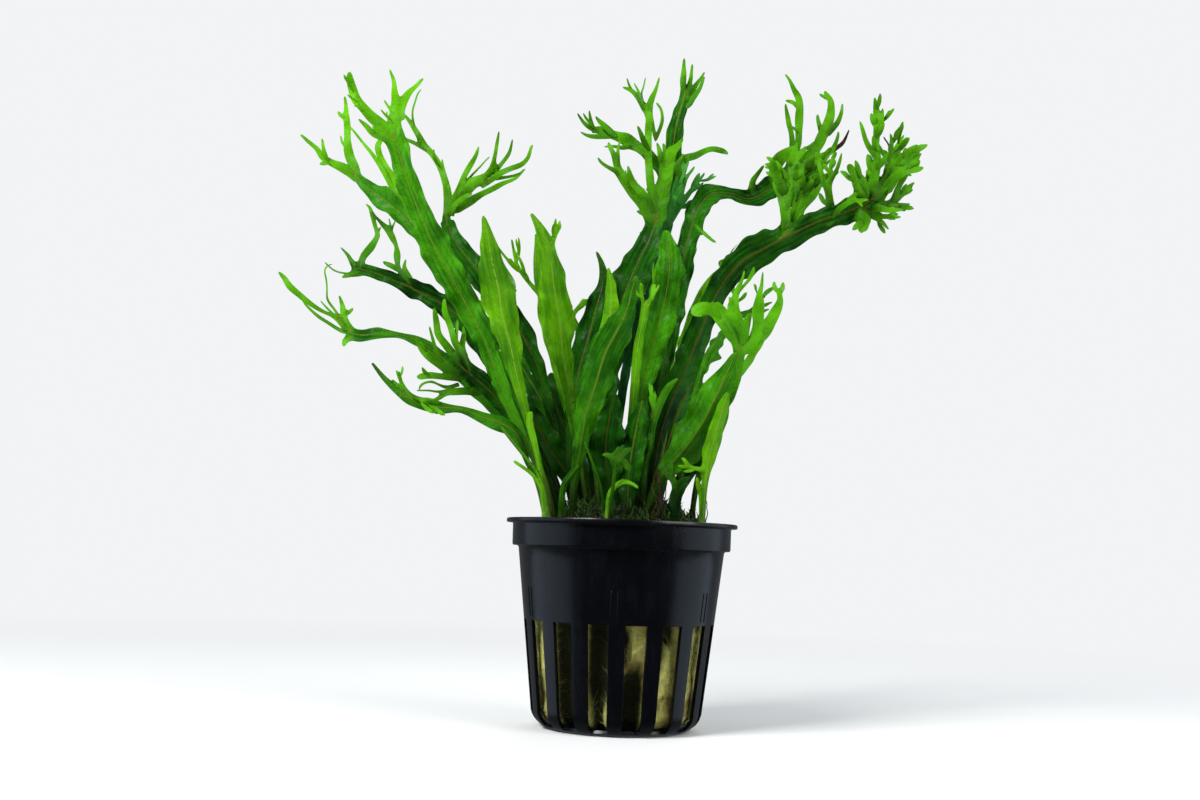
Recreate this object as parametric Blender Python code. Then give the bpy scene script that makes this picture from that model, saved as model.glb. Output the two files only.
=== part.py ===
"""Potted Windelov Java fern: a slotted plastic net pot with a stone wool plug, a mossy root mat, a
rhizome and a clump of crested fronds. All sizes below are millimetres; the meshes are made in metres.
X runs to the right, Y away from the front, Z up, and the origin is the centre of the pot's flat base."""

import math

import bmesh
import bpy
from mathutils import Matrix, Vector, geometry

metresPerMm = 0.001
gap = 0.3  # air kept between pieces that touch

# Net pot
potHeight = 48.5
lipRadius, lipThickness = 27.5, 1.0
collarRadius, collarDepth = 26.0, 5.4
bodyTopRadius, bodyFootRadius = 24.5, 20.2
wall = 0.9
footRounding = 5.0
slotCount = 16
slotAngle = 12.6  # degrees taken by one slot, the rest of each pitch is a rib
slotTop = 25.0
firstSlotAngle = 9.3  # degrees, so that a rib stands almost at the front
baseSlotInner, baseSlotOuter = 6.0, 13.0

# Filling
woolTop = 44.0
matRadius, matEdgeHeight, matCrown = 22.8, 45.2, 7.3
rhizomeRadius = 1.7
rhizomeRoute = [
    (-13, 4, 50.2), (-8, 2.5, 51.9), (-2, 3.5, 53.2),
    (4, 2, 53.1), (9, 3.2, 52.1), (14, 1.5, 50.2),
]
rootRadius = 0.55
rootRoute = [(8, -16.5, 49.4), (8.4, -16.6, 52), (8.2, -16.4, 55), (7.8, -16.2, 58), (7.6, -16, 60.5)]

# Leaf blades
edgeThickness = 0.28
bladeThickness = 0.6
footThickness = 1.1
footShare = 0.25  # share of the length over which the round foot thins out to the blade
turnShare = 0.33  # share of the length over which the blade takes its side turn
depthPower = 1.4  # a stem leans out slowly at first, with this power of its length
stemSpacing, armSpacing = 9.5, 8.0  # distance between cross-sections
footClearance = gap + 0.4  # height of a foot above the ground under its middle
curveSteps = 8  # steps of the smooth curve between two points of a route
weldDistance = 0.02
smoothAngle = 38  # degrees

# Each frond: its tone, the depth of its foot and of its tip, the side turn of its blade in degrees, its
# stem as (x, z, width), and its crest arms as (extra depth at the tip, first width, last width, route)
fronds = {
    "frond_left_tall": dict(tone="bright", depth=(-10, -30.5), turn=-26,
        stem=[(-15.5, 50, 1.2), (-17.5, 54.5, 1.2), (-20.5, 60.5, 1.4), (-24.5, 68.5, 2.1), (-29, 78, 3.2),
              (-33, 88, 4.6), (-38, 97, 5.7), (-42.5, 104.5, 6.7), (-46, 110.5, 6.2), (-49, 117, 5),
              (-51.5, 123, 4.6), (-53, 128, 4.8), (-54.5, 132.5, 4.4)],
        arms=[(-3, 2.2, 0.7, [(-54.5, 131), (-57.5, 135), (-60.5, 138), (-62.5, 141.5), (-64.5, 145.5)]),
              (2, 2.4, 0.7, [(-54, 132), (-54, 138.5), (-55, 142.5), (-56, 148)]),
              (4, 2, 0.7, [(-54, 134), (-53.5, 139), (-52.5, 143.5), (-49, 146.5)]),
              (-5, 1.1, 0.4, [(-53, 127), (-57, 131), (-59, 133), (-62.5, 135)]),
              (-4, 0.9, 0.4, [(-60.5, 138), (-64, 139.5), (-65.5, 143.5)])]),
    "frond_left_upper": dict(tone="mid", depth=(4, 21.5), turn=-20,
        stem=[(-13.5, 52, 1.2), (-19, 64, 1.5), (-26, 76.5, 2), (-33, 90, 2.2), (-40, 103, 2.5),
              (-48, 113, 2.7), (-55, 121, 3), (-59.5, 126, 4.5), (-64.5, 130, 5.1), (-69, 133.5, 3.1),
              (-72.5, 137, 2)],
        arms=[(3, 2.3, 0.8, [(-71.5, 135), (-73.5, 140.5), (-75.5, 149), (-76, 158)]),
              (-4, 2.3, 0.5, [(-71.5, 135.5), (-77, 139.5), (-81, 142), (-86, 145.5)]),
              (2, 1, 0.5, [(-75.5, 150.5), (-77, 153.5), (-78.5, 156.5)]),
              (6, 2, 0.8, [(-56, 123.5), (-62, 134.5), (-66, 142), (-68.5, 149.5)]),
              (2, 1, 0.5, [(-58.5, 126.5), (-65.5, 138.5), (-69.5, 143), (-73.5, 149.5)])]),
    "frond_left_forked": dict(tone="dark", depth=(0.8, 11), turn=20,
        stem=[(-12, 53, 1.4), (-15, 63, 1.7), (-18, 73.5, 2.2), (-21.5, 84.5, 3.6), (-25.5, 92.5, 5.4),
              (-29.5, 98.5, 5.9), (-34, 104.5, 6.6), (-39, 111, 6.1), (-43.5, 116.5, 4.4),
              (-46.5, 122.5, 3.2)],
        arms=[(6, 2.2, 0.5, [(-46.5, 121.5), (-48, 134), (-50.5, 139.5), (-56, 146), (-60.5, 153.5)]),
              (9, 1.5, 0.5, [(-49.5, 138), (-54, 143), (-57.5, 145.5), (-61.5, 150)]),
              (-5, 2.2, 1, [(-47, 127), (-43, 132.5), (-37, 135), (-34, 136), (-31.5, 138)]),
              (-8, 1.2, 0.5, [(-43, 132.5), (-40, 135.5), (-38, 140)]),
              (-3, 1.2, 0.5, [(-37, 135), (-35, 140.5), (-34, 145)]),
              (2, 1, 0.5, [(-34, 136), (-32, 140.5), (-30.5, 143.5)]),
              (-6, 1, 0.5, [(-31.5, 138), (-27.5, 139), (-24.5, 140.5)]),
              (3, 1.7, 0.7, [(-46, 124.5), (-40, 129.5), (-36, 132), (-28, 137)])]),
    "frond_left_bright": dict(tone="lime", depth=(-13, -33.5), turn=38,
        stem=[(-15.5, 50, 1.2), (-18, 56, 1.2), (-21, 64.5, 1.4), (-23, 71.5, 1.8), (-25, 78.5, 2.7),
              (-27, 86.5, 4.7), (-29, 93.5, 6.9), (-30, 99, 7.3), (-31.5, 104.5, 5.5), (-32.5, 110, 2.6),
              (-33.5, 114, 0.6)],
        arms=[]),
    "frond_left_dark_long": dict(tone="dark", depth=(-3.3, 1.5), turn=-20,
        stem=[(-14, 52, 1.2), (-18, 60, 1.4), (-22.5, 68, 1.9), (-28, 76, 2.6), (-32, 84.5, 3.6),
              (-36.5, 91.5, 4.8), (-41.5, 97, 5.7), (-47, 100.5, 4.8), (-53.5, 103.5, 3.8),
              (-59.5, 106, 2.9), (-64.5, 107.5, 2.6), (-68, 108, 2.9)],
        arms=[(5, 1.7, 0.5, [(-65.5, 107.5), (-65, 111.5), (-63, 115), (-65, 123)]),
              (2, 1.4, 0.5, [(-67, 108), (-69, 110.5), (-71.5, 113)]),
              (-3, 1.7, 0.7, [(-67, 108), (-70, 105.5)]),
              (8, 2.2, 0.7, [(-52.5, 103), (-55.5, 107), (-58, 113), (-60.5, 119), (-64, 122.5)]),
              (4, 1.4, 0.5, [(-55.5, 107.5), (-58, 109.5), (-61.5, 111)]),
              (0, 0.7, 0.4, [(-68, 106.5), (-71, 107.5), (-74, 109)]),
              (2, 1, 0.5, [(-63.5, 117.5), (-62, 120)]),
              (4, 1.2, 0.5, [(-53, 104), (-55, 108), (-56, 111)])]),
    "frond_left_low_long": dict(tone="mid", depth=(-5, -8), turn=38,
        stem=[(-15, 51, 1.2), (-18.5, 58, 1.4), (-23, 65, 1.9), (-28.5, 71.5, 2.6), (-34, 76.5, 3.3),
              (-38.5, 81, 3.3), (-44, 85.5, 3.1), (-49.5, 89, 2.6), (-54.5, 90.5, 1.4), (-59.5, 90.5, 3),
              (-63, 90, 3.5), (-66.5, 90.5, 2.1)],
        arms=[(-4, 1.6, 0.5, [(-65.5, 90.5), (-69.5, 93.5), (-75.5, 97), (-80, 100.5), (-83, 104)]),
              (4, 0.9, 0.5, [(-66, 90.5), (-71, 93), (-78.5, 98)]),
              (3, 1.6, 0.5, [(-65, 91), (-67.5, 95), (-69, 99.5)]),
              (3, 0.7, 0.4, [(-67, 94.5), (-66.5, 97.5)]),
              (0, 1.2, 0.5, [(-65.5, 90), (-67.5, 87.5)])]),
    "frond_left_mid_crest": dict(tone="dark", depth=(-6.5, -16), turn=-20,
        stem=[(-14.5, 51.5, 1.2), (-18, 58, 1.4), (-21.5, 64.5, 1.9), (-26, 70.5, 2.8), (-30.5, 76, 3.7),
              (-34.5, 79.5, 4.4), (-38, 82, 3.9), (-40.5, 84.5, 2.7)],
        arms=[(5, 1.8, 0.5, [(-36.5, 81), (-40, 88), (-42, 94), (-44, 99)]),
              (7, 1.2, 0.5, [(-40, 86.5), (-40, 90), (-40, 93.5)]),
              (-3, 1.6, 0.5, [(-40, 84.5), (-43.5, 90.5), (-45, 95.5)]),
              (-7, 2.1, 0.7, [(-40, 82.5), (-43, 83), (-46.5, 86), (-48.5, 87.5)]),
              (-4, 1.8, 0.7, [(-38.5, 80), (-42, 81), (-45, 80), (-48, 81)]),
              (-9, 1.4, 0.5, [(-35.5, 79), (-39.5, 77.5), (-43.5, 76.5), (-47, 75.5)])]),
    "frond_left_low": dict(tone="mid", depth=(-10, -32), turn=32,
        stem=[(-17.5, 50, 1.2), (-20, 56, 1.2), (-22.5, 61, 1.4), (-25, 67, 2.3), (-29, 69.5, 3.7),
              (-33, 70.5, 2.7), (-37.5, 72, 1.6), (-42.5, 72, 2.7), (-47.5, 73, 2.7), (-51, 75, 1.8),
              (-54, 77.5, 1.1), (-56.5, 80.5, 0.5)],
        arms=[(-3, 1.3, 0.4, [(-48, 73.5), (-50, 76), (-51.5, 79.5)]),
              (3, 1.1, 0.4, [(-50.5, 74), (-45.5, 73), (-43, 70.5)])]),
    "frond_front_fiddle": dict(tone="lime", depth=(-15, -22), turn=-38,
        stem=[(-17.5, 49.5, 1.4), (-19, 56, 1.4), (-20, 62, 1.4), (-21, 66, 1.4), (-22, 69.5, 1.6),
              (-22, 72, 1.3)],
        arms=[(-2, 0.9, 0.7, [(-19, 55), (-21, 58), (-25.5, 61)])]),
    "frond_front_thin": dict(tone="lime", depth=(-16.9, -21), turn=26,
        stem=[(-16, 50, 0.8), (-19, 56.5, 0.8), (-22.5, 61.5, 0.8), (-25.5, 65, 0.8), (-28.5, 68.5, 0.6)],
        arms=[]),
    "frond_bright_center": dict(tone="lime", depth=(-6, -22), turn=44,
        stem=[(-8, 52, 1.4), (-10.5, 62.5, 1.4), (-12.5, 71, 1.9), (-14, 79.5, 2.8), (-15.5, 87, 4.9),
              (-16.5, 94.5, 6.7), (-18, 102, 5.9), (-19, 108, 4.5), (-21, 113.5, 2.5), (-23.5, 117.5, 0.7)],
        arms=[(3, 1.4, 0.5, [(-19, 110), (-18, 114), (-17, 117.5)])]),
    "frond_bright_center_back": dict(tone="lime", depth=(2, -1), turn=-14,
        stem=[(-7.5, 52.5, 1.2), (-11, 65.5, 1.4), (-14.5, 76, 1.7), (-17.5, 86.5, 2.2), (-19.5, 95.5, 3.8),
              (-21, 102.5, 2.9), (-22.5, 109, 2.2), (-23, 117.5, 1)],
        arms=[(-3, 1.2, 0.5, [(-21, 102), (-24.5, 105.5), (-27.5, 109.5), (-29, 115.5)])]),
    "frond_pale_stalk": dict(tone="lime", depth=(1, 8), turn=26,
        stem=[(-4, 53.5, 1), (-5, 68, 1.2), (-6.5, 81.5, 1.2), (-9, 88.5, 1.5), (-12, 95, 1.5),
              (-14.5, 99, 2), (-16.5, 102.5, 1.2)],
        arms=[(2, 1.2, 0.5, [(-14, 99), (-12, 102), (-10, 104)]),
              (-2, 1.2, 0.5, [(-14.5, 99.5), (-14, 101.5)])]),
    "frond_center_dark_left": dict(tone="dark", depth=(-3, 0), turn=-26,
        stem=[(-10.5, 51.5, 1.4), (-12.5, 60, 1.7), (-13, 68, 2.4), (-12.5, 76, 3.8), (-11.5, 84.5, 5.5),
              (-9.5, 92.5, 6.4), (-8, 99.5, 5.3), (-6.5, 106, 2.6), (-7, 110.5, 1.4), (-8.5, 114, 0.5)],
        arms=[]),
    "frond_center_front": dict(tone="bright", depth=(-13, -27.5), turn=26,
        stem=[(-12, 50, 1.2), (-11.5, 57, 1.8), (-10.5, 64.5, 3.2), (-9.5, 71.5, 5), (-7.5, 79, 6.6),
              (-5.5, 86, 7), (-3, 91, 6), (-1, 95.5, 4), (0, 100, 2), (1, 103, 0.7)],
        arms=[]),
    "frond_bright_center_small": dict(tone="lime", depth=(-6, -13), turn=-32,
        stem=[(-5.5, 52, 1.4), (-7, 67.5, 1.9), (-6.5, 80, 2.8), (-5.5, 89.5, 3.7), (-4.5, 96.5, 3.9),
              (-4.5, 102.5, 2.5), (-5.5, 107.5, 0.5)],
        arms=[]),
    "frond_center_broad": dict(tone="dark", depth=(0, 4.5), turn=-26,
        stem=[(-4, 52.5, 1.9), (-6, 65.5, 3.4), (-5.5, 77.5, 5.8), (-4.5, 89.5, 7.2), (-3, 99, 7.5),
              (-0.5, 106, 8.5), (2, 112.5, 7.5), (4.5, 118, 5.6), (6, 123, 3.6)],
        arms=[(-5, 3.6, 0.7, [(6, 122), (2, 127.5), (-3, 133.5), (-5.5, 137.5), (-6.5, 141)]),
              (2, 1.4, 0.5, [(-4.5, 135), (-3.5, 139.5), (-3.5, 142.5)]),
              (-6, 1.2, 0.5, [(-5, 137), (-7.5, 139), (-9, 140.5)]),
              (2, 2.7, 1.7, [(6, 123), (4, 131), (4, 141.5), (3, 147), (3, 152.5)]),
              (-4, 1.5, 0.5, [(3, 152), (0, 155), (-3.5, 157)]),
              (4, 1, 0.5, [(2, 153), (0, 157), (-0.5, 160)]),
              (5, 1.5, 0.5, [(3, 151.5), (5, 156.5), (6, 162)]),
              (-6, 1.5, 0.7, [(4, 139), (1.5, 143), (0.5, 146)]),
              (7, 3.2, 0.7, [(6.5, 123), (8, 131), (10, 139.5), (12.5, 146.5)]),
              (3, 1.5, 0.5, [(8, 131.5), (7.5, 138.5), (7, 144)])]),
    "frond_center_tall": dict(tone="mid", depth=(8, 19.5), turn=-20,
        stem=[(4.5, 54, 1.5), (5, 69, 2), (6.5, 84, 2.5), (7.5, 99.5, 2.7), (8.5, 114, 3), (9, 126, 3),
              (9, 134.5, 3), (10, 142.5, 3.8), (11, 151.5, 3.3), (12.5, 158, 3), (13.5, 163, 3)],
        arms=[(-2, 2.3, 0.8, [(13.5, 160), (12.5, 164.5), (12, 169)]),
              (4, 1.8, 0.5, [(14, 161), (14.5, 165.5), (15, 170)]),
              (7, 1.8, 0.5, [(14, 159.5), (16.5, 164.5), (18.5, 168.5)]),
              (1, 1.5, 0.5, [(13.5, 158), (16, 161), (18, 164)]),
              (-8, 2.5, 0.8, [(9, 136), (5.5, 141.5), (-0.5, 145), (-6.5, 147), (-10.5, 150)]),
              (-3, 2.2, 0.5, [(-3.5, 145.5), (-8, 146), (-12, 148.5), (-14.5, 151)]),
              (-6, 1, 0.5, [(-10.5, 147.5), (-12.5, 148.5), (-13, 150)]),
              (-10, 1, 0.5, [(-7.5, 146.5), (-11, 144.5), (-13.5, 143.5)]),
              (6, 2.3, 0.8, [(11, 140), (15, 143.5), (20, 146), (25, 145.5)])]),
    "frond_teal_crest": dict(tone="teal", depth=(4, 11), turn=-20,
        stem=[(-3.5, 53.5, 1.5), (-3, 63.5, 1.7), (-1.5, 73.5, 1.9), (-0.5, 83.5, 2.2), (1, 92, 2.4),
              (3, 101.5, 2.7), (5, 109.5, 3), (7, 116.5, 2.7), (8.5, 122.5, 2.5)],
        arms=[(-4, 2, 0.5, [(8.5, 122), (10, 129.5), (13, 135)]),
              (4, 2, 0.5, [(9, 123.5), (13.5, 131), (18.5, 138.5)]),
              (0, 1.2, 0.5, [(10.5, 131), (12.5, 135.5), (14, 140)])]),
    "frond_right_center_column": dict(tone="bright", depth=(-5, -8), turn=20,
        stem=[(2.5, 51.5, 1.9), (3, 61, 2.8), (3, 70.5, 3.3), (3.5, 78.5, 3.8), (5, 86.5, 5.8),
              (6.5, 93, 7), (8, 100, 7.4), (9, 107, 6.8), (9, 112.5, 5), (8, 118, 1.6)],
        arms=[]),
    "frond_right_arch_upper": dict(tone="dark", depth=(2, 15), turn=-26,
        stem=[(4.5, 52.5, 1.7), (6, 63.5, 2.2), (7, 74, 2.7), (8.5, 84, 3.2), (10, 94, 4.1),
              (11.5, 104, 4.9), (13, 112, 4.6), (14.5, 120, 4.4), (16.5, 127, 4.4), (20, 132, 4.4),
              (25.5, 132.5, 2.6), (30, 131.5, 3.6), (35.5, 135, 3.9), (39.5, 140, 3.4)],
        arms=[(-4, 2.5, 0.5, [(39.5, 138.5), (41.5, 146.5), (42, 155), (40.5, 160), (38, 164)]),
              (2, 1.2, 0.5, [(40.5, 150.5), (39.5, 154.5), (38.5, 158)]),
              (-8, 1.5, 0.7, [(40.5, 145), (39.5, 149), (37.5, 153.5)]),
              (5, 2.8, 1, [(40, 139.5), (45.5, 144.5), (49, 150.5), (51, 158), (49, 162.5)]),
              (7, 1, 0.5, [(50, 153), (49.5, 155.5), (49, 158.5)]),
              (9, 1.5, 0.5, [(49, 149), (53, 153.5), (55, 161.5)]),
              (3, 1.3, 0.5, [(48, 146.5), (53, 149), (56, 152)]),
              (3, 1.2, 0.5, [(38, 136.5), (35.5, 138.5), (34, 140.5)]),
              (-4, 1.2, 0.5, [(32, 133.5), (30, 134.5), (28.5, 136)]),
              (-7, 1.2, 0.5, [(14.5, 126), (17, 122), (21, 118)])]),
    "frond_right_big_arch": dict(tone="dark", depth=(-3, -17.5), turn=44,
        stem=[(6, 52, 1.7), (7, 61, 2.1), (8.5, 70.5, 2.8), (11, 78.5, 4.2), (14, 86, 5.9), (16.5, 93, 5.6),
              (18.5, 98.5, 4.9), (21.5, 105, 4.7), (26, 110.5, 6.5), (31, 113.5, 6.2), (36.5, 116.5, 3.5),
              (42.5, 119.5, 3), (48, 121.5, 3), (52, 123, 3.9), (55.5, 125, 3.6)],
        arms=[(6, 2.3, 0.7, [(33, 114.5), (34.5, 123), (36, 129), (37.5, 135.5)]),
              (10, 2.8, 0.7, [(36, 117), (39, 124.5), (42, 131), (47, 138)]),
              (5, 1.4, 0.5, [(39, 125.5), (39, 129.5), (39, 134.5)]),
              (-5, 3, 0.7, [(45.5, 120), (46, 125), (46, 130.5), (46.5, 135.5)]),
              (-8, 1.6, 0.7, [(53.5, 123), (51, 127), (49, 131)]),
              (-3, 2.5, 0.5, [(54.5, 123.5), (55.5, 131), (56, 139), (55, 148.5)]),
              (2, 1.1, 0.5, [(56, 139.5), (57.5, 142), (58.5, 145.5)]),
              (5, 2, 0.7, [(55.5, 125.5), (58, 133), (60, 141.5)]),
              (9, 2, 0.7, [(55.5, 125), (60, 131.5), (64.5, 142.5)]),
              (2, 3, 1.8, [(55.5, 125), (61, 131), (64.5, 135.5), (67, 139)]),
              (-4, 2.1, 0.7, [(61.5, 129.5), (64, 131), (66.5, 133.5)]),
              (6, 2, 0.7, [(57, 125), (62.5, 127.5), (67, 131)]),
              (-7, 1.8, 0.7, [(56, 124), (59, 122.5), (62, 122)]),
              (3, 1.8, 0.7, [(55.5, 123.5), (58.5, 121.5), (60.5, 119.5)]),
              (-3, 2.3, 0.9, [(54, 123), (54, 119.5), (53, 116.5)])]),
    "frond_right_mid_crest": dict(tone="bright", depth=(-6, -21), turn=-14,
        stem=[(16, 50.5, 1.2), (17, 57.5, 1.4), (19, 64.5, 1.9), (20.5, 70.5, 2.8), (22, 75.5, 3),
              (24, 79.5, 2.5), (25, 83.5, 2.3), (25, 88, 2.5)],
        arms=[(-4, 2.7, 1.6, [(25, 87.5), (22.5, 91.5), (19, 95), (14.5, 95.5)]),
              (-8, 1.6, 0.7, [(23.5, 92), (21, 94.5), (17.5, 97)]),
              (4, 2.5, 0.7, [(25, 88), (23.5, 97.5), (24.5, 102.5), (26, 107)]),
              (7, 1.1, 0.5, [(24, 100.5), (26.5, 104), (29, 109)]),
              (-3, 2.3, 0.9, [(26, 87.5), (29.5, 91.5), (29, 98), (29, 104.5)]),
              (5, 2, 1.1, [(29, 90), (32.5, 94.5), (34.5, 99), (35, 103.5)]),
              (2, 0.9, 0.5, [(34, 99), (33, 102), (33.5, 105)]),
              (8, 1.6, 0.5, [(26, 85.5), (28.5, 86.5), (31, 90.5)])]),
    "frond_right_lower": dict(tone="bright", depth=(-12, -23), turn=14,
        stem=[(5, 52, 1.4), (7.5, 57, 2.6), (10.5, 61.5, 5), (14, 66, 8), (17.5, 71.5, 9.4),
              (20, 77, 8), (22, 82, 4.6), (24, 87, 0.9)],
        arms=[]),
    "frond_right_lime": dict(tone="lime", depth=(-15, -21), turn=32,
        stem=[(18, 50, 1.1), (18.2, 56, 1.4), (18.6, 61, 2.6), (19.4, 65.5, 3.4), (20.4, 70, 3.4),
              (21.6, 74.5, 2.6), (22.6, 78, 1)],
        arms=[(-3, 1.1, 0.5, [(17.5, 60.5), (14.5, 61), (12.5, 63)])]),
    "frond_right_stem": dict(tone="lime", depth=(-12, -15), turn=-32,
        stem=[(18, 49.5, 1.2), (18, 54, 1.4), (17, 57, 1.1), (16.5, 59, 0.7)],
        arms=[]),
    "frond_right_dark_low": dict(tone="dark", depth=(-17, -21.5), turn=20,
        stem=[(12, 50, 1.6), (11.5, 53.5, 2.7), (12.5, 56.5, 2.5), (14.5, 58.5, 0.9)],
        arms=[(-2, 1.4, 0.7, [(12, 55), (10.5, 58), (9.5, 60.5)])]),
    "frond_front_curl": dict(tone="lime", depth=(-18, -24), turn=-44,
        stem=[(-4, 50, 0.9), (-3.5, 53.5, 1.1), (-2.5, 55.5, 1.1), (-0.5, 57, 1.1), (1.5, 56.5, 0.9),
              (3, 55.5, 0.7)],
        arms=[]),
    "frond_front_stem": dict(tone="bright", depth=(-16, -20.5), turn=26,
        stem=[(-4, 51.5, 0.8), (-5.5, 56, 0.8), (-7, 60, 0.8), (-8.5, 63.5, 0.8), (-9.5, 66, 0.6)],
        arms=[]),
    "frond_front_small_crest": dict(tone="bright", depth=(-20, -26), turn=-14,
        stem=[(-3.5, 55, 0.7), (-2.5, 58.5, 0.9), (-2.5, 61.5, 2), (-1.5, 64.5, 0.9)],
        arms=[(-2, 1.6, 0.5, [(-2.5, 61.5), (-4, 62.5), (-5.5, 62.5)]),
              (2, 2, 0.6, [(-2, 62), (-0.5, 63.5), (1.5, 64.5)]),
              (1, 2.4, 1.2, [(-2, 61.5), (-0.5, 61), (1, 59.5)])]),
    "frond_center_thin_bright": dict(tone="bright", depth=(-10.5, -23), turn=14,
        stem=[(4, 53.5, 1.2), (4.5, 60.5, 1.4), (5.5, 65.5, 1.6), (6, 70.5, 1.6), (7.5, 75.5, 1.8),
              (9, 78.5, 1.6), (11, 80.5, 0.7)],
        arms=[(-3, 1.1, 0.5, [(6.5, 71.5), (6, 74.5), (6, 78)])]),
    "frond_back_blade_left": dict(tone="dark", depth=(9, 25), turn=-32,
        stem=[(-7.5, 52.5, 1.5), (-12, 61.5, 2.5), (-16, 71.5, 4), (-19.5, 79, 3.6), (-22.5, 85, 1)],
        arms=[]),
    "frond_back_blade_center": dict(tone="dark", depth=(12, 29.5), turn=32,
        stem=[(-5, 52.5, 1.5), (-8.5, 61.5, 2.5), (-13, 69, 4.3), (-16.5, 78.5, 4.6), (-19.5, 87.5, 1.6)],
        arms=[]),
    "frond_left_short": dict(tone="bright", depth=(-14.5, -19.5), turn=20,
        stem=[(-14.5, 50, 1.1), (-14, 55, 1.4), (-12.5, 58, 1.6), (-10.5, 60.5, 0.6)],
        arms=[]),
    "frond_left_stems": dict(tone="mid", depth=(-8, -9.5), turn=-26,
        stem=[(-16.5, 50, 0.8), (-17.5, 55, 0.8), (-19, 59.5, 0.8), (-20, 64, 0.6)],
        arms=[]),
    "frond_back_lime_crest": dict(tone="lime", depth=(11, 24), turn=-20,
        stem=[(8, 54, 1.2), (9.5, 67, 1.2), (11, 80, 1.5), (11.5, 89.5, 2), (11.5, 95, 2.1)],
        arms=[(-2, 1, 0.5, [(11.5, 93), (10.5, 95), (10, 97.5)]),
              (3, 1, 0.5, [(12, 93), (13, 95.5), (14, 98)])]),
    "frond_center_lime_crest": dict(tone="lime", depth=(-8, -16.5), turn=-44,
        stem=[(-0.5, 52, 1.2), (0.5, 64, 1.4), (1.5, 75.5, 1.9), (2, 87, 2.1), (3, 94.5, 1.8),
              (3.5, 99, 1.8)],
        arms=[(-2, 1.1, 0.5, [(3.5, 97.5), (2.5, 100), (2, 103)]),
              (3, 1.1, 0.5, [(3.5, 98), (5, 100.5), (5.5, 104)])]),
    "frond_right_sliver": dict(tone="lime", depth=(4.5, 2.5), turn=14,
        stem=[(8, 53, 1.2), (9, 66.5, 1.7), (10.5, 77.5, 2.2), (12.5, 85, 2.4), (14, 93.5, 2.7),
              (16.5, 101.5, 2.4), (18.5, 106.5, 1.7), (21, 110.5, 0.5)],
        arms=[]),
    "frond_right_club": dict(tone="bright", depth=(-7, -10), turn=-20,
        stem=[(12.5, 52, 1.2), (14, 65.5, 1.2), (15.5, 76, 1.4), (17, 82.5, 1.4), (18.5, 87.5, 1.6),
              (20, 90.5, 1.4)],
        arms=[]),
    "frond_left_dark_low": dict(tone="dark", depth=(-1.3, -2), turn=-14,
        stem=[(-8.5, 51.5, 1.7), (-12.5, 58, 3.1), (-17, 64, 4.5), (-20.5, 69.5, 4.8), (-23.5, 74, 3.1),
              (-25.5, 77, 1)],
        arms=[]),
    "frond_left_dark_inner": dict(tone="dark", depth=(6, 12), turn=38,
        stem=[(-6.5, 51.5, 1.7), (-10.5, 61, 3.4), (-14, 69, 4.9), (-17, 76, 4.4), (-19, 82, 1.2)],
        arms=[]),
    "frond_center_dark_low": dict(tone="dark", depth=(-9, -13.5), turn=-26,
        stem=[(-2, 51, 2.1), (-3.5, 58, 4.4), (-4.5, 64.5, 5.8), (-4, 71.5, 5.1), (-3, 78, 1.2)],
        arms=[]),
    "frond_center_mid_low": dict(tone="mid", depth=(-14, -18.5), turn=-38,
        stem=[(1, 51, 1.8), (1, 57.5, 3.4), (1.5, 64, 4.3), (2.5, 70.5, 3.4), (3.5, 76, 0.9)],
        arms=[]),
    "frond_right_dark_inner": dict(tone="dark", depth=(8.5, 13.5), turn=32,
        stem=[(8.5, 53, 1.7), (9, 60.5, 3.4), (11, 69, 5.2), (13.5, 77.5, 5.7), (16.5, 84, 4), (18.5, 90, 1)],
        arms=[]),
    "frond_right_dark_under": dict(tone="dark", depth=(-4, -8.5), turn=-14,
        stem=[(10.5, 51.5, 1.4), (13.5, 58, 2.6), (16.5, 64, 3.8), (19, 69.5, 3.5), (21, 74.5, 0.9)],
        arms=[]),
}

# Fronds at the back of the clump, in planes turned about the pot's axis by plane degrees
backFronds = {
    "frond_back_left": dict(tone="mid", plane=128, depth=(3, 14), turn=8,
        stem=[(11, 50, 1.4), (14.5, 60, 1.8), (19, 70, 3.2), (25, 81, 5.4), (31, 90, 5.6), (36, 97, 4)],
        arms=[(-5, 2.4, 0.7, [(35.5, 95.5), (37, 102), (35, 108)]),
              (5, 2.6, 0.8, [(35.5, 96), (41, 101), (45, 107)])]),
    "frond_back_center": dict(tone="dark", plane=92, depth=(-5, -9), turn=-10,
        stem=[(12, 50, 1.6), (15, 66, 2.2), (20, 84, 4), (26, 101, 6.4), (33, 117, 6), (38, 129, 4)],
        arms=[(-6, 2.6, 0.8, [(37.5, 127), (36, 137), (32, 145)]),
              (6, 2.6, 0.8, [(37.5, 128), (44, 135), (48, 145)]),
              (2, 2, 0.7, [(36, 124), (44, 126), (51, 131)])]),
    "frond_back_right": dict(tone="bright", plane=58, depth=(1, -5), turn=10,
        stem=[(12, 50, 1.4), (16, 62, 1.8), (23, 76, 3.4), (32, 89, 5.4), (41, 99, 4.6), (48, 106, 3)],
        arms=[(4, 2.2, 0.7, [(47, 105), (50, 114), (49, 123)]),
              (-4, 2.2, 0.7, [(47, 105), (56, 109), (62, 116)])]),
}

tones = {  # base colour and roughness of each leaf tone
    "lime": ((0.26, 0.52, 0.03), 0.42),
    "bright": ((0.13, 0.40, 0.02), 0.42),
    "mid": ((0.06, 0.26, 0.02), 0.40),
    "dark": ((0.02, 0.12, 0.015), 0.38),
    "teal": ((0.03, 0.20, 0.06), 0.38),
}


def clearScene():
    for thing in list(bpy.data.objects):
        bpy.data.objects.remove(thing, do_unlink=True)


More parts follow.
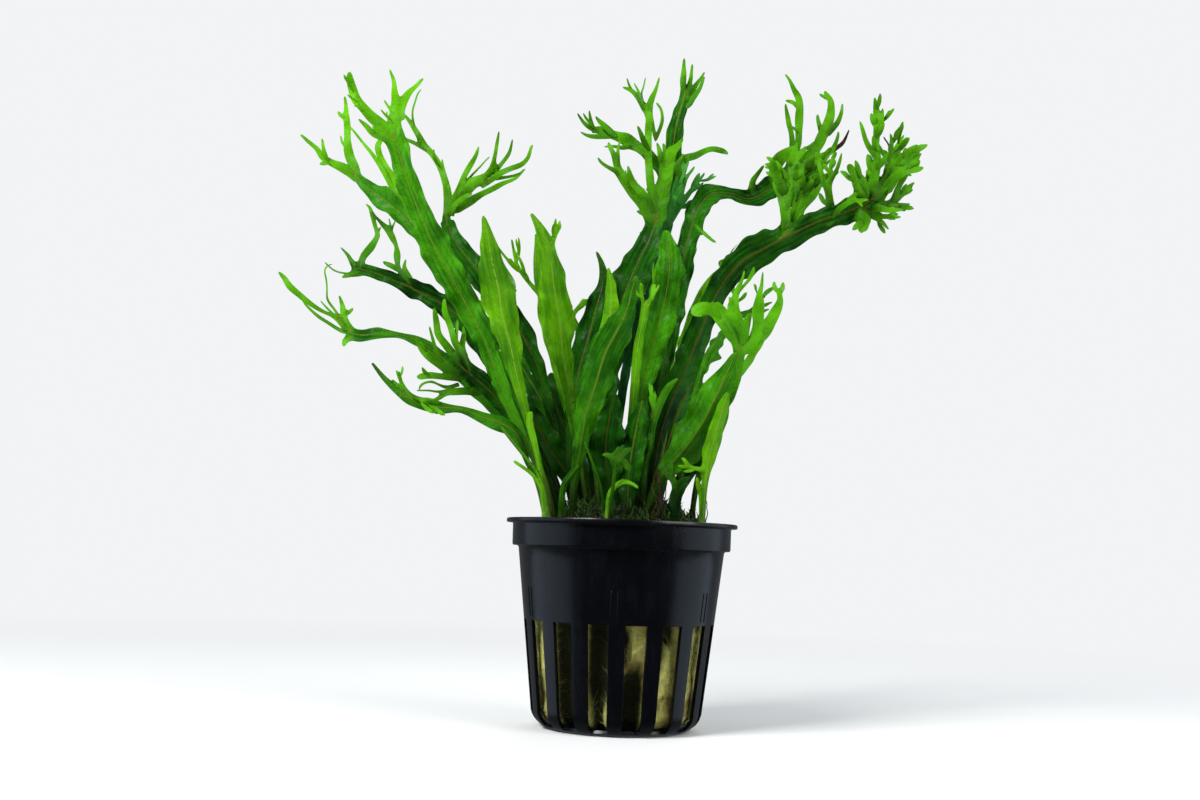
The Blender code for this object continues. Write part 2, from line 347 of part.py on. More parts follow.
def makeMaterial(name, colour, roughness):
    material = bpy.data.materials.new(name)
    material.use_nodes = True
    shader = material.node_tree.nodes["Principled BSDF"]
    shader.inputs["Base Color"].default_value = (*colour, 1)
    shader.inputs["Roughness"].default_value = roughness
    shader.inputs["Metallic"].default_value = 0
    material.diffuse_color = (*colour, 1)
    return material


def makeObject(name, shape, material):
    """Turns a closed bmesh in millimetres into an object in metres."""
    bmesh.ops.recalc_face_normals(shape, faces=shape.faces[:])
    bmesh.ops.scale(shape, vec=(metresPerMm,) * 3, verts=shape.verts[:])
    mesh = bpy.data.meshes.new(name)
    shape.to_mesh(mesh)
    shape.free()
    mesh.shade_smooth()
    mesh.set_sharp_from_angle(angle=math.radians(smoothAngle))
    thing = bpy.data.objects.new(name, mesh)
    thing.data.materials.append(material)
    bpy.context.scene.collection.objects.link(thing)
    return thing


def cornerArc(radius):
    """Points (radius, height) down the foot's rounding, for its outer or its inner side."""
    middle = bodyFootRadius - footRounding
    return [
        (middle + radius * math.cos(math.radians(a)), footRounding - radius * math.sin(math.radians(a)))
        for a in (0, 30, 60, 90)
    ]


def addRing(shape, radius, height, angles):
    return [shape.verts.new((radius * math.cos(a), radius * math.sin(a), height)) for a in angles]


def addBand(shape, upper, lower, skipped=()):
    count = len(upper)
    for i in range(count):
        if i not in skipped:
            j = (i + 1) % count
            shape.faces.new((upper[i], upper[j], lower[j], lower[i]))


def wallSlots(shape, outer, inner, first, last, opened):
    """Lines each slot between two rings with the wall's thickness, on its two sides and two ends."""
    count = len(outer[0])
    for i in opened:
        j = (i + 1) % count
        for row in range(first, last):
            for side in (i, j):
                upper = (outer[row][side], inner[row][side])
                lower = (inner[row + 1][side], outer[row + 1][side])
                shape.faces.new((*upper, *lower))
        for row in (first, last):
            shape.faces.new((outer[row][i], outer[row][j], inner[row][j], inner[row][i]))


def makePot(material):
    pitch = 360 / slotCount
    angles, slotColumns = [], []
    for k in range(slotCount):
        start = firstSlotAngle - 90 - slotAngle / 2 + k * pitch
        slotColumns.append(len(angles))
        angles += [math.radians(start), math.radians(start + slotAngle)]
    collarFoot = potHeight - lipThickness - collarDepth
    slotRadius = bodyFootRadius + (bodyTopRadius - bodyFootRadius) * (slotTop - footRounding) / (
        collarFoot - footRounding
    )
    shape = bmesh.new()
    outerUpper = [
        (lipRadius, potHeight),
        (lipRadius, potHeight - lipThickness),
        (collarRadius, potHeight - lipThickness),
        (collarRadius - 0.1, collarFoot + 0.2),
        (bodyTopRadius, collarFoot),
    ]
    innerUpper = [
        (collarRadius - wall, potHeight),
        (collarRadius - wall - 0.1, collarFoot + 1),
        (bodyTopRadius - wall, collarFoot - 0.6),
    ]
    base = [(baseSlotOuter, 0), (baseSlotInner, 0)]
    outerLower = [(slotRadius, slotTop)] + cornerArc(footRounding) + base
    innerLower = [(slotRadius - wall, slotTop)] + cornerArc(footRounding - wall)
    innerLower += [(radius, wall) for radius, _ in base]
    outer = [addRing(shape, r, z, angles) for r, z in outerUpper + outerLower]
    inner = [addRing(shape, r, z, angles) for r, z in innerUpper + innerLower]
    addBand(shape, outer[0], inner[0])
    # Side slots run from the ring at slotTop to the ring low on the foot's rounding
    sideRows = (0, 3)
    baseRows = (len(outerLower) - 2, len(outerLower) - 1)
    baseColumns = slotColumns[::2]
    for rings, upperCount in ((outer, len(outerUpper)), (inner, len(innerUpper))):
        for row in range(len(rings) - 1):
            low = row - upperCount
            skipped = ()
            if sideRows[0] <= low < sideRows[1]:
                skipped = slotColumns
            elif baseRows[0] <= low < baseRows[1]:
                skipped = baseColumns
            addBand(shape, rings[row], rings[row + 1], skipped)
        height = 0 if rings is outer else wall
        centre = shape.verts.new((0, 0, height))
        last = rings[-1]
        for i in range(len(last)):
            shape.faces.new((last[i], last[(i + 1) % len(last)], centre))
    lowerOuter, lowerInner = outer[len(outerUpper) :], inner[len(innerUpper) :]
    wallSlots(shape, lowerOuter, lowerInner, *sideRows, slotColumns)
    wallSlots(shape, lowerOuter, lowerInner, *baseRows, baseColumns)
    return makeObject("net_pot", shape, material)


def turned(profile, sides):
    """A closed turned solid whose profile runs from the top centre to the bottom centre."""
    shape = bmesh.new()
    angles = [2 * math.pi * i / sides for i in range(sides)]
    rings = [addRing(shape, r, z, angles) for r, z in profile[1:-1]]
    for upper, lower in zip(rings, rings[1:]):
        addBand(shape, upper, lower)
    for ring, (_, z) in ((rings[0], profile[0]), (rings[-1], profile[-1])):
        centre = shape.verts.new((0, 0, z))
        for i in range(sides):
            shape.faces.new((ring[i], ring[(i + 1) % sides], centre))
    return shape


def makeWoolPlug(material):
    top = bodyTopRadius - wall - gap - 0.5
    foot = bodyFootRadius - wall - gap - 0.4
    floor = wall + gap
    profile = [
        (0, woolTop),
        (top - 2, woolTop),
        (top - 1.2, woolTop - 2.6),
        (foot, footRounding + 0.4),
        (foot - 1.6, floor + 1.4),
        (foot - 4.6, floor),
        (0, floor),
    ]
    return makeObject("stone_wool_plug", turned(profile, 20), material)


def matHeight(x, y):
    return matEdgeHeight + matCrown * (1 - (math.hypot(x, y) / matRadius) ** 2)


def makeRootMat(material):
    radii = (matRadius * k for k in (0.3, 0.6, 0.84, 1))
    profile = [(0, matHeight(0, 0))] + [(r, matHeight(r, 0)) for r in radii]
    profile += [(matRadius - 2, woolTop + gap), (0, woolTop + gap)]
    return makeObject("moss_and_root_mat", turned(profile, 16), material)


def tube(route, radii, sides):
    """A closed tube through the route's points, with one radius for each point."""
    shape = bmesh.new()
    points = [Vector(p) for p in route]
    rings = []
    for i, point in enumerate(points):
        along = (points[min(i + 1, len(points) - 1)] - points[max(i - 1, 0)]).normalized()
        side = along.cross(Vector((0.1, 1, 0.2))).normalized()
        other = along.cross(side)
        ring = []
        for k in range(sides):
            turn = 2 * math.pi * k / sides
            ring.append(shape.verts.new(point + radii[i] * (math.cos(turn) * side + math.sin(turn) * other)))
        rings.append(ring)
    for first, second in zip(rings, rings[1:]):
        addBand(shape, first, second)
    shape.faces.new(rings[0])
    shape.faces.new(rings[-1])
    bmesh.ops.triangulate(shape, faces=[f for f in shape.faces if len(f.verts) > 4])
    return shape


def makeRhizome(mat, material):
    """The creeping stem, half sunk in a groove of the root mat."""
    swelling = (0.7, 1.05, 0.9, 1.1, 0.95, 0.65)
    radii = [rhizomeRadius * s for s in swelling]
    groove = makeObject("rhizome_groove", tube(rhizomeRoute, [r + gap for r in radii], 8), material)
    groove.hide_render = True
    groove.display_type = "WIRE"
    cut = mat.modifiers.new("groove", "BOOLEAN")
    cut.operation = "DIFFERENCE"
    cut.object = groove
    route = [Vector(p) for p in rhizomeRoute]
    route[0].x += gap
    route[-1].x -= gap
    return makeObject("rhizome", tube(route, radii, 8), material)


def makeRoot(material):
    radii = [rootRadius * k for k in (1.2, 1, 0.95, 0.8, 0.5)]
    return makeObject("aerial_root", tube(rootRoute, radii, 5), material)


def rhizomeTop(x, y, clearance):
    """Height of the rhizome's top under a point, or None where the point is clear of it."""
    for (x0, y0, z0), (x1, y1, z1) in zip(rhizomeRoute, rhizomeRoute[1:]):
        if x0 - clearance <= x <= x1 + clearance:
            s = min(max((x - x0) / (x1 - x0), 0), 1)
            if abs(y - y0 - (y1 - y0) * s) < clearance:
                return z0 + (z1 - z0) * s + rhizomeRadius * 1.1
    return None


def smoothRoute(points, spacing, fewest):
    """Points (x, z, width) evenly along a smooth curve through the given ones, in fewest steps or more."""
    points = [Vector(p) for p in points]
    ends = [2 * points[0] - points[1], *points, 2 * points[-1] - points[-2]]
    fine = []
    for a, b, c, d in zip(ends, ends[1:], ends[2:], ends[3:]):
        for step in range(curveSteps):
            t = step / curveSteps
            bend = (2 * a - 5 * b + 4 * c - d) * t**2 + (3 * b - a - 3 * c + d) * t**3
            fine.append(0.5 * (2 * b + (c - a) * t + bend))
    fine.append(points[-1])
    lengths = [0]
    for p, q in zip(fine, fine[1:]):
        lengths.append(lengths[-1] + (q - p).to_2d().length)
    count = max(fewest, round(lengths[-1] / spacing)) + 1
    route, k = [], 0
    for i in range(count):
        target = lengths[-1] * i / (count - 1)
        while k < len(fine) - 2 and lengths[k + 1] < target:
            k += 1
        t = (target - lengths[k]) / max(lengths[k + 1] - lengths[k], 1e-9)
        route.append(fine[k].lerp(fine[k + 1], min(max(t, 0), 1)))
    return route


def nearestOn(route, x, z):
    """The distance, the signed distance, the share of the length and the half width at the nearest point."""
    best = None
    last = len(route) - 1
    for i, (p, q) in enumerate(zip(route, route[1:])):
        dx, dz = q[0] - p[0], q[1] - p[1]
        t = min(max(((x - p[0]) * dx + (z - p[1]) * dz) / (dx * dx + dz * dz), 0), 1)
        offX, offZ = x - p[0] - dx * t, z - p[1] - dz * t
        distance = math.hypot(offX, offZ)
        if best is None or distance < best[0]:
            side = math.copysign(distance, offX * dz - offZ * dx)
            best = (distance, side, (i + t) / last, (p[2] + (q[2] - p[2]) * t) / 2)
    return best


def strip(route, withMidrib):
    """Corner points and quads of a ribbon along (x, z, width) points."""
    corners, quads = [], []
    columns = (-1, 0, 1) if withMidrib else (-1, 1)
    for i, p in enumerate(route):
        before, after = route[max(i - 1, 0)], route[min(i + 1, len(route) - 1)]
        along = Vector((after[0] - before[0], after[1] - before[1])).normalized()
        across = Vector((along.y, -along.x)) * p[2] / 2
        corners += [Vector((p[0], p[1])) + across * c for c in columns]
    width = len(columns)
    for i in range(len(route) - 1):
        for c in range(width - 1):
            low = i * width + c
            quads.append([low, low + 1, low + width + 1, low + width])
    return corners, quads


def joinStrips(strips):
    """One flat outline from overlapping ribbons, as points and triangles."""
    points, quads = [], []
    for corners, faces in strips:
        quads += [[len(points) + k for k in face] for face in faces]
        points += corners
    outline = geometry.delaunay_2d_cdt(points, [], quads, 1, weldDistance, True)
    return outline[0], [f for f, source in zip(outline[2], outline[5]) if source]


def groundUnder(point):
    """Height of what a foot stands on: the rhizome where it rises from it, or else the mat."""
    top = rhizomeTop(point.x, point.y, 1.9 * rhizomeRadius)
    return top or matHeight(point.x, point.y)


def sheetNormals(points, faces):
    normals = [Vector() for _ in points]
    for face in faces:
        a, b, c = (points[k] for k in face)
        for k in face:
            normals[k] += (b - a).cross(c - a)
    return [normal.normalized() for normal in normals]


def rimEdges(faces):
    """The edges with a face on one side only, each in the direction of its face."""
    found = {}
    for face in faces:
        for a, b in zip(face, [*face[1:], face[0]]):
            key = frozenset((a, b))
            found[key] = None if key in found else (a, b)
    return [edge for edge in found.values() if edge]


def thicken(points, faces, thicknesses):
    """A closed solid from a sheet of triangles: two faces and a narrow edge round the outline."""
    shape = bmesh.new()
    front, back = [], []
    for point, normal, thickness in zip(points, sheetNormals(points, faces), thicknesses):
        front.append(shape.verts.new(point + normal * thickness / 2))
        back.append(shape.verts.new(point - normal * thickness / 2))
    for face in faces:
        shape.faces.new([front[k] for k in face])
        shape.faces.new([back[k] for k in reversed(face)])
    for a, b in rimEdges(faces):
        shape.faces.new((front[b], front[a], back[a], back[b]))
    return shape


def makeFrond(name, frond, material):
    """One blade with its crest arms: a flat outline, carried in depth and thickened."""
    foot, tip = frond["depth"]
    plane = math.radians(frond.get("plane", 0))
    slope = math.tan(math.radians(frond["turn"]))
    stem = smoothRoute(frond["stem"], stemSpacing, 3)
    routes, starts, leans = [stem], [foot], [tip - foot]

    def depthAt(x, z):
        total = weights = 0
        for route, start, lean in zip(routes, starts, leans):
            distance, side, share, half = nearestOn(route, x, z)
            depth = start + lean * share
            if route is stem:
                depth = start + lean * share**depthPower + side * slope * min(1, share / turnShare)
            weight = 1 / (0.1 + (distance / half) ** 2) ** 3  # the nearest ribbon counts most
            total += depth * weight
            weights += weight
        return total / weights

    def place(x, z):
        return Matrix.Rotation(plane, 3, "Z") @ Vector((x, depthAt(x, z), z))

    for lean, first, last, points in frond["arms"]:
        widths = [first + (last - first) * i / (len(points) - 1) for i in range(len(points))]
        starts.append(depthAt(*points[0]))
        leans.append(lean)
        routes.append(smoothRoute([(x, z, w) for (x, z), w in zip(points, widths)], armSpacing, 1))

    # A route's points are (x, z, width), so their y is a height
    stem[0].y = groundUnder(place(stem[0].x, stem[0].y)) + footClearance
    outline, faces = joinStrips([strip(route, route is stem) for route in routes])
    rim = {k for edge in rimEdges(faces) for k in edge}
    thicknesses = []
    for k, point in enumerate(outline):
        share = nearestOn(stem, point.x, point.y)[2]
        middle = bladeThickness + (footThickness - bladeThickness) * max(0, 1 - share / footShare)
        thicknesses.append(edgeThickness if k in rim else middle)
    sheet = [place(point.x, point.y) for point in outline]
    return makeObject(name, thicken(sheet, faces, thicknesses), material)


def build():
    clearScene()
    pot = makeMaterial("black_plastic", (0.012, 0.013, 0.018), 0.28)
    wool = makeMaterial("stone_wool", (0.36, 0.34, 0.10), 0.95)
    moss = makeMaterial("moss", (0.05, 0.08, 0.02), 0.95)
    brown = makeMaterial("rhizome_skin", (0.06, 0.035, 0.015), 0.8)
    leaves = {tone: makeMaterial("leaf_" + tone, *values) for tone, values in tones.items()}
    makePot(pot)
    makeWoolPlug(wool)
    mat = makeRootMat(moss)
    makeRhizome(mat, brown)
    makeRoot(brown)
    for name, frond in {**fronds, **backFronds}.items():
        makeFrond(name, frond, leaves[frond["tone"]])


build()
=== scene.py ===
import math
import random

import bmesh
import bpy
import numpy as np
from mathutils import Matrix, Vector, geometry, kdtree, noise


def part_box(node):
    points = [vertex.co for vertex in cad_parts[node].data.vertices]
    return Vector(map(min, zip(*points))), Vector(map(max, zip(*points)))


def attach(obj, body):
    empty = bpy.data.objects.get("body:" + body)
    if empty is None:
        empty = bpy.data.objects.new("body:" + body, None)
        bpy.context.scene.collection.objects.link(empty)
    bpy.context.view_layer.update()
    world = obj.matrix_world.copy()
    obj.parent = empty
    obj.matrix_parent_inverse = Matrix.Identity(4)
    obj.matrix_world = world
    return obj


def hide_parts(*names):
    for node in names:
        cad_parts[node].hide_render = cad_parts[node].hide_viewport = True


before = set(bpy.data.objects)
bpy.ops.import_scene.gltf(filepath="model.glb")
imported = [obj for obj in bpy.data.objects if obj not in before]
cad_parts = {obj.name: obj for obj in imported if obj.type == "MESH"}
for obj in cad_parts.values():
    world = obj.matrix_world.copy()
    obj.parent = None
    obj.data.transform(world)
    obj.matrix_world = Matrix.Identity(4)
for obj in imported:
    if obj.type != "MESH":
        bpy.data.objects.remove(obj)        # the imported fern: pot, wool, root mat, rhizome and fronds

mm = 0.001
for starter in [bpy.data.objects.get(name) for name in ("Cube", "Light", "Camera")]:
    if starter:
        bpy.data.objects.remove(starter)
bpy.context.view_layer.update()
chance = random.Random(7)


# Node helpers

def addNode(tree, kind, inputs=None, **settings):
    node = tree.nodes.new(kind)
    for key, value in settings.items():
        setattr(node, key, value)
    for key, value in (inputs or {}).items():
        plug(tree, node.inputs[key], value)
    return node


def plug(tree, socket, value):
    if isinstance(value, bpy.types.NodeSocket):
        tree.links.new(value, socket)
    else:
        socket.default_value = value


def calc(tree, operation, *values, clamp=False):
    node = tree.nodes.new("ShaderNodeMath")
    node.operation, node.use_clamp = operation, clamp
    for socket, value in zip(node.inputs, values):
        plug(tree, socket, value)
    return node.outputs[0]


def times(tree, first, second):
    return calc(tree, "MULTIPLY", first, second)


def plus(tree, first, second):
    return calc(tree, "ADD", first, second)


def ramp(tree, value, low, high, start=0.0, end=1.0):
    inputs = {"Value": value, "From Min": low, "From Max": high, "To Min": start, "To Max": end}
    return addNode(tree, "ShaderNodeMapRange", inputs, interpolation_type="SMOOTHSTEP").outputs["Result"]


def blend(tree, factor, first, second):
    node = addNode(tree, "ShaderNodeMix", {0: factor}, data_type="RGBA")
    for socket, value in zip((node.inputs[6], node.inputs[7]), (first, second)):
        plug(tree, socket, (*value, 1) if isinstance(value, tuple) else value)
    return node.outputs[2]


def mixShaders(tree, factor, first, second):
    return addNode(tree, "ShaderNodeMixShader", {0: factor, 1: first, 2: second}).outputs[0]


def objectPlace(tree):
    return tree.nodes.new("ShaderNodeTexCoord").outputs["Object"]


def splitVector(tree, vector):
    return addNode(tree, "ShaderNodeSeparateXYZ", {"Vector": vector}).outputs


def noiseAt(tree, vector, scale, detail):
    return addNode(tree, "ShaderNodeTexNoise", {"Vector": vector, "Scale": scale, "Detail": detail}).outputs["Fac"]


def newGroup(name, inputs, outputs):
    tree = bpy.data.node_groups.new(name, "ShaderNodeTree")
    for label, value in inputs.items():
        socket = tree.interface.new_socket(label, in_out="INPUT", socket_type="NodeSocketFloat")
        socket.default_value = value
    for label in outputs:
        tree.interface.new_socket(label, in_out="OUTPUT", socket_type="NodeSocketFloat")
    return tree, tree.nodes.new("NodeGroupInput").outputs, tree.nodes.new("NodeGroupOutput").inputs


def useGroup(tree, group, **values):
    node = tree.nodes.new("ShaderNodeGroup")
    node.node_tree = group
    for label, value in values.items():
        plug(tree, node.inputs[label], value)
    return node.outputs


def newMaterial(name, preview):
    material = bpy.data.materials.new(name)
    material.use_nodes = True
    material.diffuse_color = (*preview, 1)
    tree = material.node_tree
    return material, tree, tree.nodes["Principled BSDF"], tree.nodes["Material Output"]


def readAttribute(tree, name):
    node = addNode(tree, "ShaderNodeAttribute", attribute_type="GEOMETRY", attribute_name=name)
    return splitVector(tree, node.outputs["Vector"])


def setFinish(tree, shader, way, colour, roughness, height):
    # what every finish has: colour, roughness, specular level and the bumped normal, which it gives back
    plug(tree, shader.inputs["Base Color"], colour)
    plug(tree, shader.inputs["Roughness"], roughness)
    shader.inputs["Specular IOR Level"].default_value = way["specular"]
    bump = addNode(tree, "ShaderNodeBump", {"Strength": way["bump"], "Distance": way["bumpDepth"], "Height": height})
    plug(tree, shader.inputs["Normal"], bump.outputs[0])
    return bump.outputs[0]


# Shared effects

def makeMottle():
    # soft patches, and fine grain inside them, both from 0 to 1
    tree, given, out = newGroup("mottle", {"Scale": 90.0, "Grain": 700.0, "Seed": 0.0}, ("Patch", "Grain"))
    seeded = {0: objectPlace(tree), 1: given["Seed"]}
    shifted = addNode(tree, "ShaderNodeVectorMath", seeded, operation="ADD").outputs[0]
    for label, scale, detail in (("Patch", "Scale", 3.0), ("Grain", "Grain", 2.0)):
        plug(tree, out[label], ramp(tree, noiseAt(tree, shifted, given[scale], detail), 0.3, 0.7))
    return tree


def makeBladeVeins():
    # the midrib, the side veins that slant off it and the small cells between them
    inputs = {"Along": 0.0, "Side": 0.0, "Half": 3.0, "Tine": 0.0, "RibWidth": 0.17, "Spacing": 2.6, "Slant": 1.1}
    tree, given, out = newGroup("bladeVeins", inputs, ("Rib", "Vein", "Relief", "Streak"))
    off = calc(tree, "ABSOLUTE", given["Side"])
    ribWidth = times(tree, given["RibWidth"], ramp(tree, given["Half"], 0.3, 3.0, 0.35, 1.0))
    rib = ramp(tree, calc(tree, "DIVIDE", off, ribWidth), 1.5, 0.55)
    plug(tree, out["Rib"], times(tree, rib, ramp(tree, given["Tine"], 0.5, 0.3)))
    flat = addNode(tree, "ShaderNodeCombineXYZ", {"X": given["Along"], "Y": given["Side"]}).outputs[0]
    wander = times(tree, noiseAt(tree, flat, 0.55, 1.0), 2.2)
    slanted = plus(tree, calc(tree, "SUBTRACT", given["Along"], times(tree, off, given["Slant"])), wander)
    cycle = calc(tree, "FRACT", calc(tree, "DIVIDE", slanted, given["Spacing"]))
    crest = times(tree, calc(tree, "ABSOLUTE", calc(tree, "SUBTRACT", cycle, 0.5)), 2.0)
    blade = ramp(tree, given["Half"], 0.9, 2.0)
    plug(tree, out["Vein"], times(tree, ramp(tree, crest, 0.78, 1.0), blade))
    domed = times(tree, calc(tree, "SUBTRACT", 1.0, crest), blade)
    cells = addNode(tree, "ShaderNodeTexVoronoi", {"Vector": flat, "Scale": 0.85}, feature="DISTANCE_TO_EDGE")
    cell = ramp(tree, cells.outputs["Distance"], 0.0, 0.3)
    plug(tree, out["Relief"], plus(tree, times(tree, domed, 0.65), times(tree, cell, 0.35)))
    drawn = addNode(tree, "ShaderNodeVectorMath", {0: flat, 1: (0.11, 1.7, 1.0)}, operation="MULTIPLY").outputs[0]
    plug(tree, out["Streak"], ramp(tree, noiseAt(tree, drawn, 1.0, 2.0), 0.32, 0.68))
    return tree


mottle, bladeVeins = makeMottle(), makeBladeVeins()
print("shared effects made")


# Leaf finishes

# foot: the stems' own browner colour, also darkened as painted shade at the dim foot of the clump
leafTones = {
    "lime": dict(deep=(0.046, 0.215, 0.002), fresh=(0.140, 0.43, 0.003),
                 rib=(0.22, 0.44, 0.03), foot=(0.060, 0.135, 0.010)),
    "bright": dict(deep=(0.012, 0.105, 0.0015), fresh=(0.060, 0.31, 0.003),
                   rib=(0.15, 0.24, 0.018), foot=(0.034, 0.085, 0.006)),
    "mid": dict(deep=(0.006, 0.068, 0.0015), fresh=(0.038, 0.23, 0.003),
                rib=(0.17, 0.20, 0.018), foot=(0.020, 0.055, 0.005)),
    "dark": dict(deep=(0.0028, 0.034, 0.001), fresh=(0.020, 0.150, 0.003),
                 rib=(0.12, 0.095, 0.011), foot=(0.012, 0.032, 0.003)),
    "teal": dict(deep=(0.004, 0.055, 0.012), fresh=(0.018, 0.20, 0.040),
                 rib=(0.06, 0.11, 0.02), foot=(0.012, 0.040, 0.005)),
}
leafFinish = dict(
    roughness=(0.46, 0.30), specular=0.07, translucency=0.22, bump=0.6, bumpDepth=0.00014,
    spotScale=95.0, grainScale=900.0, patchContrast=0.95, grainContrast=0.12, streakContrast=0.55, tineLight=0.35,
    veinShade=0.4, ribStrength=0.85, grainRelief=0.15, ribRelief=0.8,
    tip=(0.130, 0.46, 0.003), dead=(0.030, 0.014, 0.005), paleFoot=(0.33, 0.56, 0.10),
    footShare=(0.3, 0.04), tipShare=(0.0, 0.85),
    # painted shade low in the clump: its colour, the heights it fades between and its strength
    paintedShade=(0.0016, 0.016, 0.0006), paintedShadeHeights=(0.088, 0.046), paintedShading=0.75,
)


def makeLeafMaterial(tone):
    colours, way = leafTones[tone], leafFinish
    material, tree, shader, output = newMaterial("leaf_" + tone + "_finish", colours["fresh"])
    along, side, tine = readAttribute(tree, "place")[:3]
    half, share, dead = readAttribute(tree, "form")[:3]
    fresh, tipGlow, seed = readAttribute(tree, "growth")[:3]
    pale = readAttribute(tree, "foot")[0]
    veins = useGroup(tree, bladeVeins, Along=along, Side=side, Half=half, Tine=tine)
    spots = useGroup(tree, mottle, Scale=way["spotScale"], Grain=way["grainScale"], Seed=seed)
    light = times(tree, calc(tree, "SUBTRACT", spots["Patch"], 0.5), way["patchContrast"])
    for value, strength in (
        (spots["Grain"], way["grainContrast"]),
        (calc(tree, "SUBTRACT", veins["Streak"], 0.5), way["streakContrast"]),
        (tine, way["tineLight"]),
    ):
        light = plus(tree, light, times(tree, value, strength))
    light = calc(tree, "ADD", light, fresh, clamp=True)
    body = blend(tree, light, colours["deep"], colours["fresh"])
    glow = times(tree, ramp(tree, tine, *way["tipShare"]), tipGlow)
    body = blend(tree, times(tree, glow, ramp(tree, spots["Patch"], -0.6, 0.6)), body, way["tip"])
    shaded = blend(tree, times(tree, veins["Vein"], way["veinShade"]), body, colours["deep"])
    # the foot colour, partly the stems' own colour and partly painted shade, unless the stem is pale
    foot = blend(tree, pale, colours["foot"], way["paleFoot"])
    based = blend(tree, ramp(tree, share, *way["footShare"]), shaded, foot)
    ribbed = blend(tree, times(tree, veins["Rib"], way["ribStrength"]), based, colours["rib"])
    # painted shade: darker between the stems, low down in the clump, where shade falls
    low = ramp(tree, splitVector(tree, objectPlace(tree))[2], *way["paintedShadeHeights"])
    low = times(tree, low, calc(tree, "SUBTRACT", way["paintedShading"], pale, clamp=True))
    colour = blend(tree, ramp(tree, dead, 0.3, 0.8), blend(tree, low, ribbed, way["paintedShade"]), way["dead"])
    roughness = ramp(tree, veins["Relief"], 0.0, 1.0, *way["roughness"])
    height = plus(tree, veins["Relief"], times(tree, spots["Grain"], way["grainRelief"]))
    height = plus(tree, height, times(tree, veins["Rib"], way["ribRelief"]))
    normal = setFinish(tree, shader, way, colour, roughness, height)
    through = addNode(tree, "ShaderNodeBsdfTranslucent", {"Color": colour, "Normal": normal})
    both = mixShaders(tree, way["translucency"], shader.outputs[0], through.outputs[0])
    tree.links.new(both, output.inputs["Surface"])
    return material


leafMaterials = {tone: makeLeafMaterial(tone) for tone in leafTones}
print("leaf finishes made")


